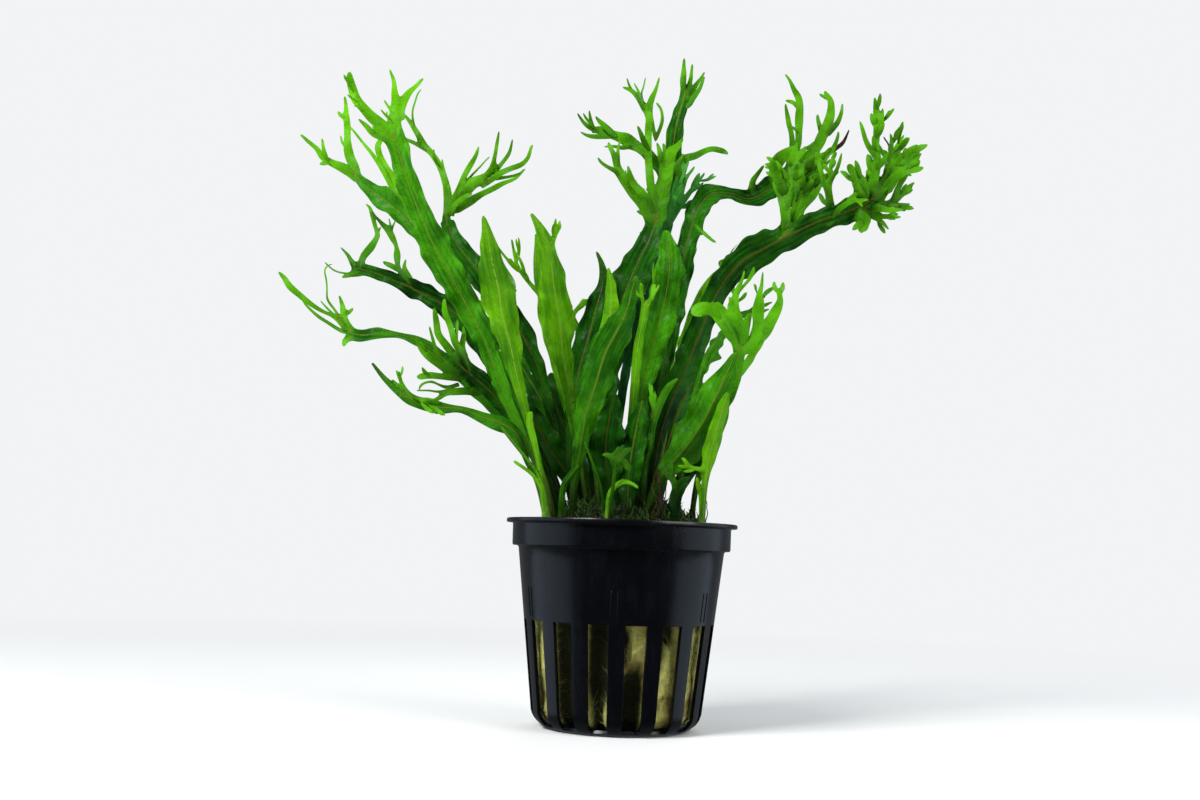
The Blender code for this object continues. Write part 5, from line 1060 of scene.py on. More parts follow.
def growSheet(branches, way, slope, dice):
    # one closed sheet from a group of branches, as points, faces and what the finish reads
    hasStem = branches[0]["stem"]
    ribbons = [ribbonSides(branch, way, dice, hasStem and len(branches) > 1) for branch in branches]
    loops = [loop for loop in outlineLoops(ribbons) if abs(loopArea(loop)) > 0.15]
    loops = [webbed(evenLoop(loop, way["marginStep"]), way["webRounds"]) for loop in loops]
    inner, margin = fillPoints(loops, branches, way)
    corners, faces = bladeMesh(loops, inner)

    read = readBranches(branches, corners, slope)
    along, side, half, tine, stem = (read[label] for label in ("along", "side", "half", "tine", "stem"))
    share = read["share"] if hasStem else np.ones(len(corners))
    edge = farFrom(margin, corners)
    across = np.clip(np.abs(side) / np.maximum(half, 0.3), 0, 1.15)
    length = dice.uniform(*way["waveLength"])
    phases = np.where(side > 0, dice.random(), dice.random())
    waves = swing(along / length + phases)
    waves *= 0.75 + 0.35 * swing(along / length / 2.9 + phases * 3)
    waves += 0.35 * swing(along / length * 2.3 + phases * 1.7)
    calm = np.clip(share / 0.3, 0, 1) * stem
    rise = half * calm * (way["wave"] * across**2 * waves + way["fold"] * across * dice.choice((-1, 1)))
    rise += half * (1 - stem) * way["armWave"] * np.copysign(across, side) * np.sin(along * 0.8)
    rise += way["tipCurl"] * tine**3 * np.sin(along * 0.9 + dice.random() * 6)
    sheet = np.column_stack([corners[:, 0], read["depth"] + rise, corners[:, 1]])

    # full and round at the foot, thin in the blade, with a raised midrib
    body = np.clip(1 - share / way["footShare"], 0, 1) ** 1.5
    middle = way["thickness"] * (1 - 0.3 * (1 - stem))
    middle += (way["footThickness"] - way["thickness"]) * body
    rounding = np.maximum(way["rounding"], half * body)
    bulge = np.sqrt(1 - (1 - np.clip(edge / rounding, 0, 1)) ** 2)
    rib = way["ribHeight"] * np.exp(-((side / way["ribHalf"]) ** 2)) * stem * (1 - 0.6 * share)
    thick = middle * bulge + rib * np.clip(edge / 0.4, 0, 1)

    normals = sheetNormals(sheet, faces) * np.maximum(thick, way["rim"])[:, None] / 2
    count = len(corners)
    start, end = rimEdges(faces).T
    walls = [np.column_stack([end, start, start + count]), np.column_stack([end, start + count, end + count])]
    both = np.tile(np.arange(count), 2)
    return np.vstack([sheet + normals, sheet - normals]), np.vstack([faces, faces[:, ::-1] + count, *walls]), dict(
        place=np.column_stack([along, read["off"], tine])[both],
        form=np.column_stack([read["reach"], share, read["dead"]])[both],
    )


def makeLeaf(node, frond):
    way = {**leafForm, **leafWays.get(node, {})}
    dice = random.Random(node)
    slope = math.tan(math.radians(frond["turn"]))
    foot, tip = frond["depth"]
    points = [list(p) for p in frond["stem"]]
    points[0][1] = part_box(node)[0].z / mm - way["rootedBy"]
    trunk = newBranch(points, foot, tip - foot, 0, way["step"])
    trunk["stem"] = True
    groups = [[trunk]]
    for k, (lean, route) in enumerate(frond["arms"]):
        branches = min(groups, key=lambda group: nearness(group, route[0]))
        addBranch(branches, route, lean, slope, way["step"] * 0.8, float(k in way.get("deadArms", ())))
        if crowded(branches[-1], [arm for arm in branches[:-1] if not arm["stem"]], way):
            arm = branches.pop()
            arm["start"] += math.copysign(way["layerGap"], lean or 1)
            arm["layered"] = True
            groups.append([arm])
    arms = [arm for group in groups for arm in group if not arm["stem"]]
    for group in groups:
        forkArms(group, way, slope, dice)
    groups += looseTines(arms, way, dice)

    points, faces, read, base = [], [], {}, 0
    for group in groups:
        theirs, sides, marks = growSheet(group, way, slope, dice)
        points.append(theirs)
        faces.append(sides + base)
        base += len(theirs)
        for label, values in marks.items():
            read.setdefault(label, []).append(values)
    turned = Matrix.Rotation(math.radians(frond.get("plane", 0)), 3, "Z")
    fresh = way["fresh"] + dice.uniform(-0.06, 0.06)
    return makePiece(
        node.replace("frond", "leaf"), np.vstack(points) @ np.array(turned).T, np.vstack(faces),
        leafMaterials[frond["tone"]], node, "leaf_" + frond["tone"], smoothTo=75,
        growth=np.tile((fresh, way["tipGlow"], dice.random()), (base, 1)),
        foot=np.tile((way["paleFoot"], 0, 0), (base, 1)),
        **{label: np.vstack(values) for label, values in read.items()},
    )


leaves = [makeLeaf(node, frond) for node, frond in frondRoutes.items()]
print("leaves grown:", len(leaves), "triangles", sum(len(leaf.data.polygons) for leaf in leaves))


# Turned shapes

def ringFaces(rows, columns):
    i, j = np.meshgrid(np.arange(rows - 1), np.arange(columns), indexing="ij")
    a, b = i * columns + j, i * columns + (j + 1) % columns
    return np.stack([a + columns, b + columns, b, a], -1).reshape(-1, 4).tolist()


def capFaces(first, columns, centre, upwards):
    ring = [(first + i, first + (i + 1) % columns, centre) for i in range(columns)]
    return [face if upwards else face[::-1] for face in ring]


def arcPoints(centre, radius, start, end, steps):
    turns = [math.radians(start + (end - start) * i / steps) for i in range(steps + 1)]
    return [(centre[0] + radius * math.cos(turn), centre[1] + radius * math.sin(turn)) for turn in turns]


def around(angle, radius, z):
    # the point at an angle in degrees from the front
    turn = math.radians(angle)
    return radius * math.sin(turn), -radius * math.cos(turn), z


# Net pot

pot = dict(
    height=48.5, lipRadius=27.5, lipThickness=1.0, collarRadius=26.0, collarDepth=5.4,
    bodyTop=24.5, bodyFoot=20.2, wall=0.9, footRounding=5.0,
    slots=16, slotAngle=12.6, slotTop=25.0, firstSlot=9.3, slotSteps=6, ribSteps=6,
    drainInner=6.0, drainOuter=13.0, edge=0.16,
    mouldLines=dict(first=-4.0, count=6, apart=1.5, low=25.9, high=32.6, width=0.24, proud=0.13,
                    sunk=0.2, spacedAt=29),
)
collarFoot = pot["height"] - pot["lipThickness"] - pot["collarDepth"]


def bodyRadius(z):
    share = (z - pot["footRounding"]) / (collarFoot - pot["footRounding"])
    return pot["bodyFoot"] + (pot["bodyTop"] - pot["bodyFoot"]) * share


def potProfiles():
    # (radius, height) down the outer and the inner side, and the two rows of each that the slots lie between
    top, wall, rounding = pot["height"], pot["wall"], pot["footRounding"]
    under, middle = top - pot["lipThickness"], pot["bodyFoot"] - rounding
    lip, collar = pot["lipRadius"], pot["collarRadius"]
    bore = collar - wall
    outer = [
        (bore + 0.5, top), (lip - 0.3, top), (lip - 0.08, top - 0.1), (lip, top - 0.35), (lip, under + 0.2),
        (lip - 0.15, under), (collar + 0.25, under), (collar, under - 0.3), (collar - 0.04, collarFoot + 0.5),
        (collar - 0.15, collarFoot + 0.12), (collar - 0.4, collarFoot), (pot["bodyTop"] + 0.25, collarFoot - 0.05),
        (bodyRadius(collarFoot - 0.4), collarFoot - 0.4),
    ]
    inner = [
        (bore + 0.12, top - 0.1), (bore, top - 0.4), (bore - 0.06, collarFoot + 1.4), (bore - 0.3, collarFoot + 0.6),
        (bodyRadius(collarFoot) - wall, collarFoot - 0.3),
    ]
    slotRows = []
    for rows, inset in ((outer, 0), (inner, wall)):
        rows += [(bodyRadius(z) - inset, z) for z in (38, 34, 30, 27)]
        first = len(rows)
        rows += [(bodyRadius(z) - inset, z) for z in (pot["slotTop"], 20, 15, 10)]
        rows += arcPoints((middle, rounding), rounding - inset, 0, -60, 5)
        slotRows.append((first, len(rows) - 1))
        rows += arcPoints((middle, rounding), rounding - inset, -60, -90, 3)[1:]
        rows += [(pot["drainOuter"], inset), (pot["drainInner"], inset), (2, inset)]
    (first, last), (firstIn, lastIn) = slotRows
    return outer, inner, (first, last), (len(outer) + firstIn, len(outer) + lastIn)


def potAngles():
    angles, slotColumns = [], []
    pitch = 360 / pot["slots"]
    for k in range(pot["slots"]):
        start = pot["firstSlot"] - 90 - pot["slotAngle"] / 2 + k * pitch
        slotColumns.append(list(range(len(angles), len(angles) + pot["slotSteps"])))
        angles += [start + pot["slotAngle"] * i / pot["slotSteps"] for i in range(pot["slotSteps"])]
        rib = pitch - pot["slotAngle"]
        angles += [start + pot["slotAngle"] + rib * i / pot["ribSteps"] for i in range(pot["ribSteps"])]
    return np.radians(angles), slotColumns


def mouldLine(points, faces, angle, way):
    # a fine raised line down the wall, as a slim wedge sunk into it
    base = len(points)
    for z in (way["high"], way["low"]):
        for turn, radius in ((-1, -way["sunk"]), (-0.6, way["proud"]), (0.6, way["proud"]), (1, -way["sunk"])):
            r = bodyRadius(z) + radius
            a = angle + turn * way["width"] / 2 / r
            points.append((r * math.sin(a), -r * math.cos(a), z))
    sides = [(i, i + 1, i + 5, i + 4) for i in range(3)]
    faces += [[base + k for k in face] for face in (*sides, (3, 0, 4, 7), (3, 2, 1, 0), (4, 5, 6, 7))]


def makePotPiece(finish):
    outer, inner, *slotRows = potProfiles()
    angles, slotColumns = potAngles()
    count, split, total = len(angles), len(outer), len(outer) + len(inner)
    points = [(r * math.cos(a), r * math.sin(a), z) for r, z in (*outer, *inner) for a in angles]
    slots = {i for slot in slotColumns for i in slot}
    drains = {i for slot in slotColumns[::2] for i in slot}
    faces = []

    def corner(row, i):
        return row * count + i % count

    def band(one, other, i):
        return [corner(one, i), corner(one, i + 1), corner(other, i + 1), corner(other, i)]

    for start, end, (first, last), floor in ((0, split, slotRows[0], 0), (split, total, slotRows[1], pot["wall"])):
        for row in range(start, end - 1):
            skipped = slots if first <= row < last else drains if row == end - 3 else ()
            faces += [band(row + 1, row, i) for i in range(count) if i not in skipped]
        points.append((0, 0, floor))
        faces += [(corner(end - 1, i), corner(end - 1, i + 1), len(points) - 1) for i in range(count)]
    faces += [band(0, split, i) for i in range(count)]
    openings = [(slot, *slotRows) for slot in slotColumns]
    openings += [(slot, (split - 3, split - 2), (total - 3, total - 2)) for slot in slotColumns[::2]]
    for slot, (first, last), (firstIn, lastIn) in openings:
        for step in range(last - first):
            for side in (slot[0], slot[-1] + 1):
                faces.append([corner(row + step, side) for row in (first, first + 1, firstIn + 1, firstIn)])
        faces += [band(*rows, i) for rows in ((first, firstIn), (last, lastIn)) for i in slot]
    way = pot["mouldLines"]
    for k in range(way["count"]):
        middle = math.radians(way["first"] + 360 / way["count"] * k)
        for side in (-1, 1):
            mouldLine(points, faces, middle + side * way["apart"] / 2 / bodyRadius(way["spacedAt"]), way)
    piece = makePiece("pot_moulding", points, faces, finish, "net_pot", "black_plastic", smoothTo=35)
    bevel = piece.modifiers.new("soft edges", "BEVEL")
    bevel.width, bevel.segments, bevel.limit_method = pot["edge"] * mm, 2, "ANGLE"
    bevel.angle_limit = math.radians(50)
    bevel.use_clamp_overlap = True


potFinish = dict(
    colour=(0.0013, 0.0016, 0.0028), marked=(0.0036, 0.0044, 0.0070), roughness=(0.23, 0.3), specular=0.3,
    bump=0.25, bumpDepth=0.00006, film=0.06, filmRoughness=0.12,
    spots=dict(Scale=160.0, Grain=1500.0), streaks=(420, 420, 60), streakEdge=(0.35, 0.75), wear=0.5,
)


def makePotMaterial():
    way = potFinish
    material, tree, shader, _ = newMaterial("black_plastic_finish", way["colour"])
    spots = useGroup(tree, mottle, **way["spots"])
    streaked = addNode(tree, "ShaderNodeMapping", {"Vector": objectPlace(tree), "Scale": way["streaks"]}).outputs[0]
    streaks = ramp(tree, noiseAt(tree, streaked, 1.0, 4.0), *way["streakEdge"])
    worn = times(tree, times(tree, streaks, spots["Patch"]), way["wear"])
    rough = plus(tree, times(tree, streaks, 0.6), times(tree, spots["Patch"], 0.4))
    roughness = ramp(tree, rough, 0.1, 0.9, *way["roughness"])
    height = plus(tree, times(tree, spots["Grain"], 0.5), times(tree, streaks, 0.5))
    setFinish(tree, shader, way, blend(tree, worn, way["colour"], way["marked"]), roughness, height)
    plug(tree, shader.inputs["Coat Weight"], times(tree, spots["Patch"], way["film"]))
    shader.inputs["Coat Roughness"].default_value = way["filmRoughness"]
    return material


makePotPiece(makePotMaterial())
print("pot moulded")


# Strands: many slim closed hairs in one mesh

def strands(feet, heads, bends, radii, tints, steps, sides=3):
    # a part for joined, with one tint for each strand
    lines = heads - feet
    ahead = unit(lines)
    aside = unit(np.cross(ahead, np.array([0.31, 0.17, 0.94])))
    other = np.cross(ahead, aside)
    rings = []
    for step in range(steps):
        t = step / steps
        middle = feet + lines * t + bends * 4 * t * (1 - t)
        radius = radii[:, None] * (1 - 0.75 * t)
        for k in range(sides):
            turn = 2 * math.pi * k / sides
            rings.append(middle + radius * (math.cos(turn) * aside + math.sin(turn) * other))
    rings.append(heads)
    each = steps * sides + 1
    one = []
    for step in range(steps - 1):
        for k in range(sides):
            a, b = step * sides + k, step * sides + (k + 1) % sides
            one += [(a, b, b + sides), (a, b + sides, a + sides)]
    one += [((steps - 1) * sides + k, (steps - 1) * sides + (k + 1) % sides, each - 1) for k in range(sides)]
    one += [(0, k + 1, k) for k in range(1, sides - 1)]
    faces = (np.array(one)[None] + (np.arange(len(feet)) * each)[:, None, None]).reshape(-1, 3)
    return np.stack(rings, 1).reshape(-1, 3), faces, np.repeat(tints, each, 0)


def joined(*parts):
    # one mesh from (points, faces, tints) parts, where each point has a vector as its tint
    points, faces, tints, base = [], [], [], 0
    for some, theirs, tint in parts:
        points.append(np.asarray(some, float))
        faces += [[base + k for k in face] for face in theirs]
        tints.append(np.asarray(tint, float))
        base += len(some)
    return np.vstack(points), faces, np.vstack(tints)


# Stone wool

wool = dict(
    neck=41.4, inner=0.3, topInset=0.5, footInset=0.4, columns=220, rows=70,
    lump=1.3, lumpSize=5.5, tuft=0.35, tuftSize=1.1,
    # hollows as (degrees from the front, height, half width in degrees, half height, depth)
    hollows=[(-41, 12, 13, 17, 3.6), (-15, 17, 8, 11, 3.6), (-15, 5, 5, 9, 2.6), (9, 6, 9, 9.5, 3.8),
             (3, 20, 4, 5, 2.6), (27, 19.5, 6, 5.5, 3.8), (33, 23.5, 9, 3, 3.4), (50, 21, 3, 4, 1.4),
             (120, 15, 9, 12, 3.0), (190, 10, 8, 9, 3.2), (-120, 18, 9, 8, 3.0)],
    # paintedShadeDepth: how far back the wool stands where its painted shade is full
    footRows=12, paintedShadeDepth=3.5, fibres=5200, fibreLength=(1.6, 4.6), fibreRadius=(0.028, 0.05),
)


def woolRadius(z):
    neckRadius = pot["bodyTop"] - pot["wall"] - wool["inner"] - wool["topInset"] - 1.2
    footRadius = pot["bodyFoot"] - pot["wall"] - wool["inner"] - wool["footInset"]
    low = pot["footRounding"] + 0.4
    if z >= low:
        return footRadius + (neckRadius - footRadius) * min(1, (z - low) / (wool["neck"] - low))
    drop = (low - z) / (low - pot["wall"] - wool["inner"])
    return footRadius - 4.6 * (1 - math.sqrt(max(0, 1 - drop**2)))


def woolDepth(angle, z):
    # how far the wool stands back at an angle in degrees from the front
    depth = 0
    for middle, height, wide, tall, deep in wool["hollows"]:
        off = (angle - middle + 180) % 360 - 180
        depth = max(depth, deep * math.exp(-((off / wide) ** 4) - ((z - height) / tall) ** 4))
    spot = Vector(around(angle, woolRadius(z), z))
    lump = noise.noise(spot / wool["lumpSize"]) * wool["lump"]
    tuft = noise.fractal(spot / wool["tuftSize"], 0.8, 2.0, 3) * wool["tuft"]
    return max(-0.15, depth + lump * 0.6 + tuft + 0.35)


# painted shade of the wool, from 0 to 1, darker the further it stands back
def woolPaintedShade(angle, z):
    return min(1, woolDepth(angle, z) / wool["paintedShadeDepth"])


def woolPoint(angle, z, out=0.0):
    return around(angle, woolRadius(z) - woolDepth(angle, z) + out, z)


def makeWoolPiece(finish):
    floor, footRows = pot["wall"] + wool["inner"], wool["footRows"]
    heights = np.concatenate([np.linspace(wool["neck"] + 1.6, pot["footRounding"], wool["rows"] - footRows),
                              np.linspace(pot["footRounding"] - 0.4, floor + 0.05, footRows)])
    angles = np.arange(wool["columns"]) * 360 / wool["columns"]
    points = [woolPoint(a, z) for z in heights for a in angles]
    faces = ringFaces(len(heights), len(angles))
    for row, height, upwards in ((0, heights[0] + 0.6, True), (len(heights) - 1, floor, False)):
        points.append((0, 0, height))
        faces += capFaces(row * len(angles), len(angles), len(points) - 1, upwards)
    # painted shade at each point of the wool
    paintedShade = [(woolPaintedShade(a, z), 0, 0) for z in heights for a in angles] + [(0, 0, 0)] * 2
    fibres = []
    for _ in range(wool["fibres"]):
        slot = chance.randrange(pot["slots"])
        angle = pot["firstSlot"] + slot * 360 / pot["slots"] + chance.uniform(-0.62, 0.62) * pot["slotAngle"]
        z = chance.uniform(floor + 0.8, pot["slotTop"] + 0.8)
        lean, length = chance.gauss(0.2, 0.7), chance.uniform(*wool["fibreLength"])
        turn = math.degrees(math.sin(lean) * length / woolRadius(z))
        upper = min(max(z + math.cos(lean) * length, floor + 0.6), pot["slotTop"] + 1)
        head = woolPoint(angle + turn, upper, chance.uniform(0.02, 0.3))
        bend = Vector(around(angle, 1, 0)) * chance.uniform(0.02, 0.16)
        bend += Vector((chance.gauss(0, 0.18), chance.gauss(0, 0.1), chance.gauss(0, 0.1)))
        radius = chance.uniform(*wool["fibreRadius"])
        # each fibre takes the painted shade of the wool at its foot
        fibres.append((woolPoint(angle, z, -0.05), head, bend, radius, (woolPaintedShade(angle, z), chance.random(), 0)))
    points, faces, depth = joined((points, faces, paintedShade), strands(*map(np.array, zip(*fibres)), steps=3))
    makePiece("wool_fibres", points, faces, finish, "stone_wool_plug", "stone_wool", 60, depth=depth)


woolFinish = dict(
    # deep: the colour of the painted shade in the hollows
    pale=(0.62, 0.60, 0.18), plain=(0.34, 0.34, 0.09), deep=(0.022, 0.026, 0.007), stain=(0.13, 0.075, 0.012),
    staining=0.75, roughness=0.9, specular=0.2, bump=0.8, bumpDepth=0.0003,
    spots=dict(Scale=260.0, Grain=2200.0, Seed=3.0), patches=dict(Scale=110.0, Grain=900.0, Seed=11.0),
)


def makeWoolMaterial():
    way = woolFinish
    material, tree, shader, _ = newMaterial("stone_wool_finish", way["plain"])
    # depth: the painted shade of the hollows, and each fibre's tint
    sunk, tint = readAttribute(tree, "depth")[:2]
    spots, patches = (useGroup(tree, mottle, **way[label]) for label in ("spots", "patches"))
    light = plus(tree, times(tree, spots["Patch"], 0.6), times(tree, tint, 0.4))
    stains = times(tree, ramp(tree, patches["Patch"], 0.55, 1.0), way["staining"])
    colour = blend(tree, stains, blend(tree, light, way["plain"], way["pale"]), way["stain"])
    # painted shade: darker where the wool stands back in its hollows
    colour = blend(tree, ramp(tree, sunk, 0.25, 0.75), colour, way["deep"])
    height = plus(tree, spots["Grain"], times(tree, patches["Grain"], 0.6))
    setFinish(tree, shader, way, colour, way["roughness"], height)
    return material


makeWoolPiece(makeWoolMaterial())
print("stone wool teased out")


# Moss and root mat

mat = dict(
    radius=22.8, edge=45.2, crown=7.3, foot=44.3, columns=120, rows=36,
    lump=0.55, lumpSize=3.2, grit=0.22, gritSize=0.9, sunk=0.25, mostLean=1.35,
    sprigs=6000, sprigLength=(0.8, 2.2), sprigRadius=(0.11, 0.23),
    leaves=700, leafLength=(2.2, 4.8), leafRadius=(0.22, 0.42),
    hairs=900, hairLength=(1.4, 2.8), hairRadius=(0.03, 0.05),
)
# wiry roots as (radius, route)
wildRoots = [
    (0.16, [(6.6, -15, 50), (7.4, -15.5, 53), (6.4, -15.8, 56), (7.0, -15.4, 59.5)]),
    (0.13, [(19.2, -8, 47.5), (19.6, -8.5, 52), (18.6, -9, 57), (20.2, -8.6, 63)]),
    (0.12, [(8.2, -14, 50), (9.6, -15, 56), (9.0, -15.5, 62), (8.2, -15, 68.5)]),
    (0.15, [(-9, -14, 49.5), (-6, -16.4, 48.9), (-2, -17.5, 48.4), (3, -18, 48)]),
    (0.14, [(2, -13, 51), (6, -16, 49.6), (10, -18.5, 48), (13, -20, 46.4)]),
    (0.15, [(12, -10, 50.6), (15, -13.5, 49), (17, -16, 47.4)]),
    (0.13, [(-14, -8, 50), (-17, -11, 48.6), (-18.6, -12.6, 46.8)]),
    (0.14, [(-3, 12, 51.4), (2, 16, 49.8), (8, 18.5, 47.6)]),
    (0.13, [(-12, 9, 51), (-16, 12, 48.7), (-17.6, 13.6, 46.6)]),
]


def matHeight(x, y):
    dome = mat["edge"] + mat["crown"] * (1 - (math.hypot(x, y) / mat["radius"]) ** 2)
    spot = Vector((x, y, 0))
    rough = noise.noise(spot / mat["lumpSize"]) * mat["lump"] + noise.noise(spot / mat["gritSize"]) * mat["grit"]
    return dome + rough


def matPoint(turn, radius, foot=None):
    x, y = radius * math.cos(turn), radius * math.sin(turn)
    return x, y, matHeight(x, y) if foot is None else foot


def tubeMesh(route, radii, sides):
    points = np.array(route, float)
    ahead = unit(np.gradient(points, axis=0))
    aside = unit(np.cross(ahead, np.array([0.1, 1, 0.2])))
    other = np.cross(ahead, aside)
    turns = 2 * math.pi * np.arange(sides)[None, :, None] / sides
    radii = np.asarray(radii, float).reshape(len(points), -1, 1)
    ring = np.cos(turns) * aside[:, None] + np.sin(turns) * other[:, None]
    rings = (points[:, None] + radii * ring).reshape(-1, 3)
    faces = ringFaces(len(points), sides) + capFaces(0, sides, len(rings), True)
    faces += capFaces((len(points) - 1) * sides, sides, len(rings) + 1, False)
    return np.vstack([rings, points[:1], points[-1:]]), faces


def softLine(points, count):
    # a smooth line through points in space
    ends = extended(np.array(points, float))
    where = np.linspace(0, len(points) - 1 - 1e-9, count)
    k, t = where.astype(int), (where % 1)[:, None]
    return curveAt(*(ends[k + i] for i in range(4)), t)


def makeMatPiece(finish):
    columns, rows = mat["columns"], mat["rows"]
    turns = 2 * math.pi * np.arange(columns) / columns
    points = [matPoint(turn, mat["radius"] * k) for k in np.linspace(0.03, 1, rows) for turn in turns]
    points += [matPoint(turn, mat["radius"] - 2, mat["foot"]) for turn in turns]
    points += [(0, 0, matHeight(0, 0)), (0, 0, mat["foot"])]
    faces = ringFaces(rows + 1, columns) + capFaces(0, columns, len(points) - 2, True)
    faces += capFaces(rows * columns, columns, len(points) - 1, False)
    parts = [(points, faces, [(0, 0.4, 0)] * len(points))]
    for kind, label, lengths, widths, spread, reach in (
        (0.5, "sprigs", "sprigLength", "sprigRadius", 0.45, 0.985),
        (0.5, "leaves", "leafLength", "leafRadius", 0.42, 0.82),
        (1.0, "hairs", "hairLength", "hairRadius", 0.75, 0.985),
    ):
        grown = []
        for _ in range(mat[label]):
            r, a = mat["radius"] * reach * math.sqrt(chance.random()), chance.uniform(0, 2 * math.pi)
            x, y, z = matPoint(a, r)
            lean, turn = min(abs(chance.gauss(0.3, spread)), mat["mostLean"]), chance.uniform(0, 2 * math.pi)
            length = chance.uniform(*mat[lengths])
            flat = math.sin(lean)
            foot = Vector((x, y, z - mat["sunk"]))
            head = foot + Vector((flat * math.cos(turn), flat * math.sin(turn), math.cos(lean))) * length
            far, most = math.hypot(head.x, head.y), mat["radius"] + 1
            if far > most:
                head.x, head.y = head.x * most / far, head.y * most / far
            bend = (chance.gauss(0, 0.14) * length, chance.gauss(0, 0.14) * length, chance.uniform(0, 0.12) * length)
            thick = chance.uniform(*mat[widths])
            grown.append((foot, head, bend, thick, (kind, chance.random(), chance.random())))
        parts.append(strands(*map(np.array, zip(*grown)), steps=4))
    for radius, route in wildRoots:
        line = softLine(route, 26)
        line += np.column_stack([np.sin(np.arange(26) * s) * 0.12 for s in (1.3, 0.9, 1.1)])
        tube, tubeFaces = tubeMesh(line, np.linspace(radius, radius * 0.45, 26), 6)
        parts.append((tube, tubeFaces, [(1.0, 0.9, 0.5)] * len(tube)))
    points, faces, tints = joined(*parts)
    makePiece("moss_and_roots", points, faces, finish, "moss_and_root_mat", "moss", 60, strand=tints)


mossFinish = dict(
    soil=(0.007, 0.006, 0.002), moss=(0.008, 0.024, 0.002), freshMoss=(0.038, 0.095, 0.005),
    root=(0.024, 0.011, 0.004), paleRoot=(0.12, 0.065, 0.015),
    roughness=0.8, specular=0.25, bump=0.7, bumpDepth=0.0003, spots=dict(Scale=180.0, Grain=1400.0, Seed=5.0),
)


def makeMossMaterial():
    way = mossFinish
    material, tree, shader, _ = newMaterial("moss_finish", way["moss"])
    kind, tint, other = readAttribute(tree, "strand")[:3]
    spots = useGroup(tree, mottle, **way["spots"])
    ground = blend(tree, spots["Patch"], way["soil"], way["moss"])
    sprig = blend(tree, times(tree, tint, ramp(tree, spots["Patch"], 0.1, 0.8)), way["moss"], way["freshMoss"])
    root = blend(tree, times(tree, tint, other), way["root"], way["paleRoot"])
    colour = blend(tree, ramp(tree, kind, 0.2, 0.4), ground, sprig)
    colour = blend(tree, ramp(tree, kind, 0.7, 0.9), colour, root)
    setFinish(tree, shader, way, colour, way["roughness"], spots["Grain"])
    return material


makeMatPiece(makeMossMaterial())
print("root mat grown")


# Rhizome and aerial root

rhizome = dict(
    route=[(-13, 4, 50.2), (-8, 2.5, 51.9), (-2, 3.5, 53.2), (4, 2, 53.1), (9, 3.2, 52.1), (14, 1.5, 50.2)],
    swelling=(0.7, 1.05, 0.9, 1.1, 0.95, 0.65), radius=1.7, rings=90, sides=26, bumps=0.22, bumpSize=1.0,
    scales=900, scaleLength=(0.7, 1.7), scaleRadius=(0.06, 0.13),
)
root = dict(route=[(8, -16.5, 49.4), (8.4, -16.6, 52), (8.2, -16.4, 55), (7.8, -16.2, 58), (7.6, -16, 60.5)],
            radii=(1.2, 1, 0.95, 0.8, 0.5), radius=0.42, rings=50, sides=12, bumps=0.25, bumpSize=0.9)


def tapered(line, ends):
    # rounds both ends of a tube's radius
    t = np.linspace(0, 1, len(line))
    return np.sqrt(np.clip(1 - np.clip(1 - np.minimum(t, 1 - t) / ends, 0, 1) ** 2, 0.02, 1))


def roughTube(way, line, radii, least=-9.0, most=9.0):
    # a tube with bumps, and the point of its middle line at each of its points
    tube, faces = tubeMesh(line, radii, way["sides"])
    middle = np.vstack([np.repeat(line, way["sides"], 0), line[:1], line[-1:]])
    rough = np.array([noise.fractal(Vector(p) / way["bumpSize"], 0.8, 2.0, 3) for p in tube])
    return middle + (tube - middle) * (1 + way["bumps"] * np.clip(rough, least, most))[:, None], faces, middle


def makeRhizomePiece(finish):
    way = rhizome
    line = softLine(way["route"], way["rings"])
    swell = np.interp(np.linspace(0, 5, way["rings"]), range(6), way["swelling"])
    tube, faces, middle = roughTube(way, line, way["radius"] * swell * tapered(line, 0.06), -0.8, 0.6)
    picks = [chance.randrange(len(tube) - 2) for _ in range(way["scales"])]
    feet = tube[picks]
    out = unit(feet - middle[picks])
    ahead = unit(np.gradient(line, axis=0)[np.array(picks) // way["sides"]])
    lengths = np.array([chance.uniform(*way["scaleLength"]) for _ in picks])[:, None]
    heads = feet + (0.35 * out + 0.9 * ahead) * lengths
    radii = np.array([chance.uniform(*way["scaleRadius"]) for _ in picks])
    scales = strands(feet, heads, out * 0.05, radii, [(1, 0.5, 0)] * len(picks), steps=3)
    points, faces, tints = joined((tube, faces, [(0, 0, 0)] * len(tube)), scales)
    makePiece("rhizome_bark", points, faces, finish, "rhizome", "rhizome_skin", 60, strand=tints)


def makeRootPiece(finish):
    line = softLine(root["route"], root["rings"])
    radii = np.interp(np.linspace(0, 4, root["rings"]), range(5), root["radii"]) * root["radius"]
    tube, faces, _ = roughTube(root, line, radii * tapered(line, 0.05))
    tints = [(0, 0.5, 0)] * len(tube)
    makePiece("aerial_root_skin", tube, faces, finish, "aerial_root", "rhizome_skin", 60, strand=tints)


skinFinish = dict(
    dark=(0.010, 0.0045, 0.002), plain=(0.042, 0.016, 0.006), green=(0.022, 0.030, 0.006), hair=(0.07, 0.032, 0.010),
    greening=0.35, roughness=0.75, specular=0.15, bump=0.6, bumpDepth=0.0002,
    spots=dict(Scale=420.0, Grain=2400.0, Seed=9.0), patches=dict(Scale=150.0, Grain=900.0, Seed=2.0),
)


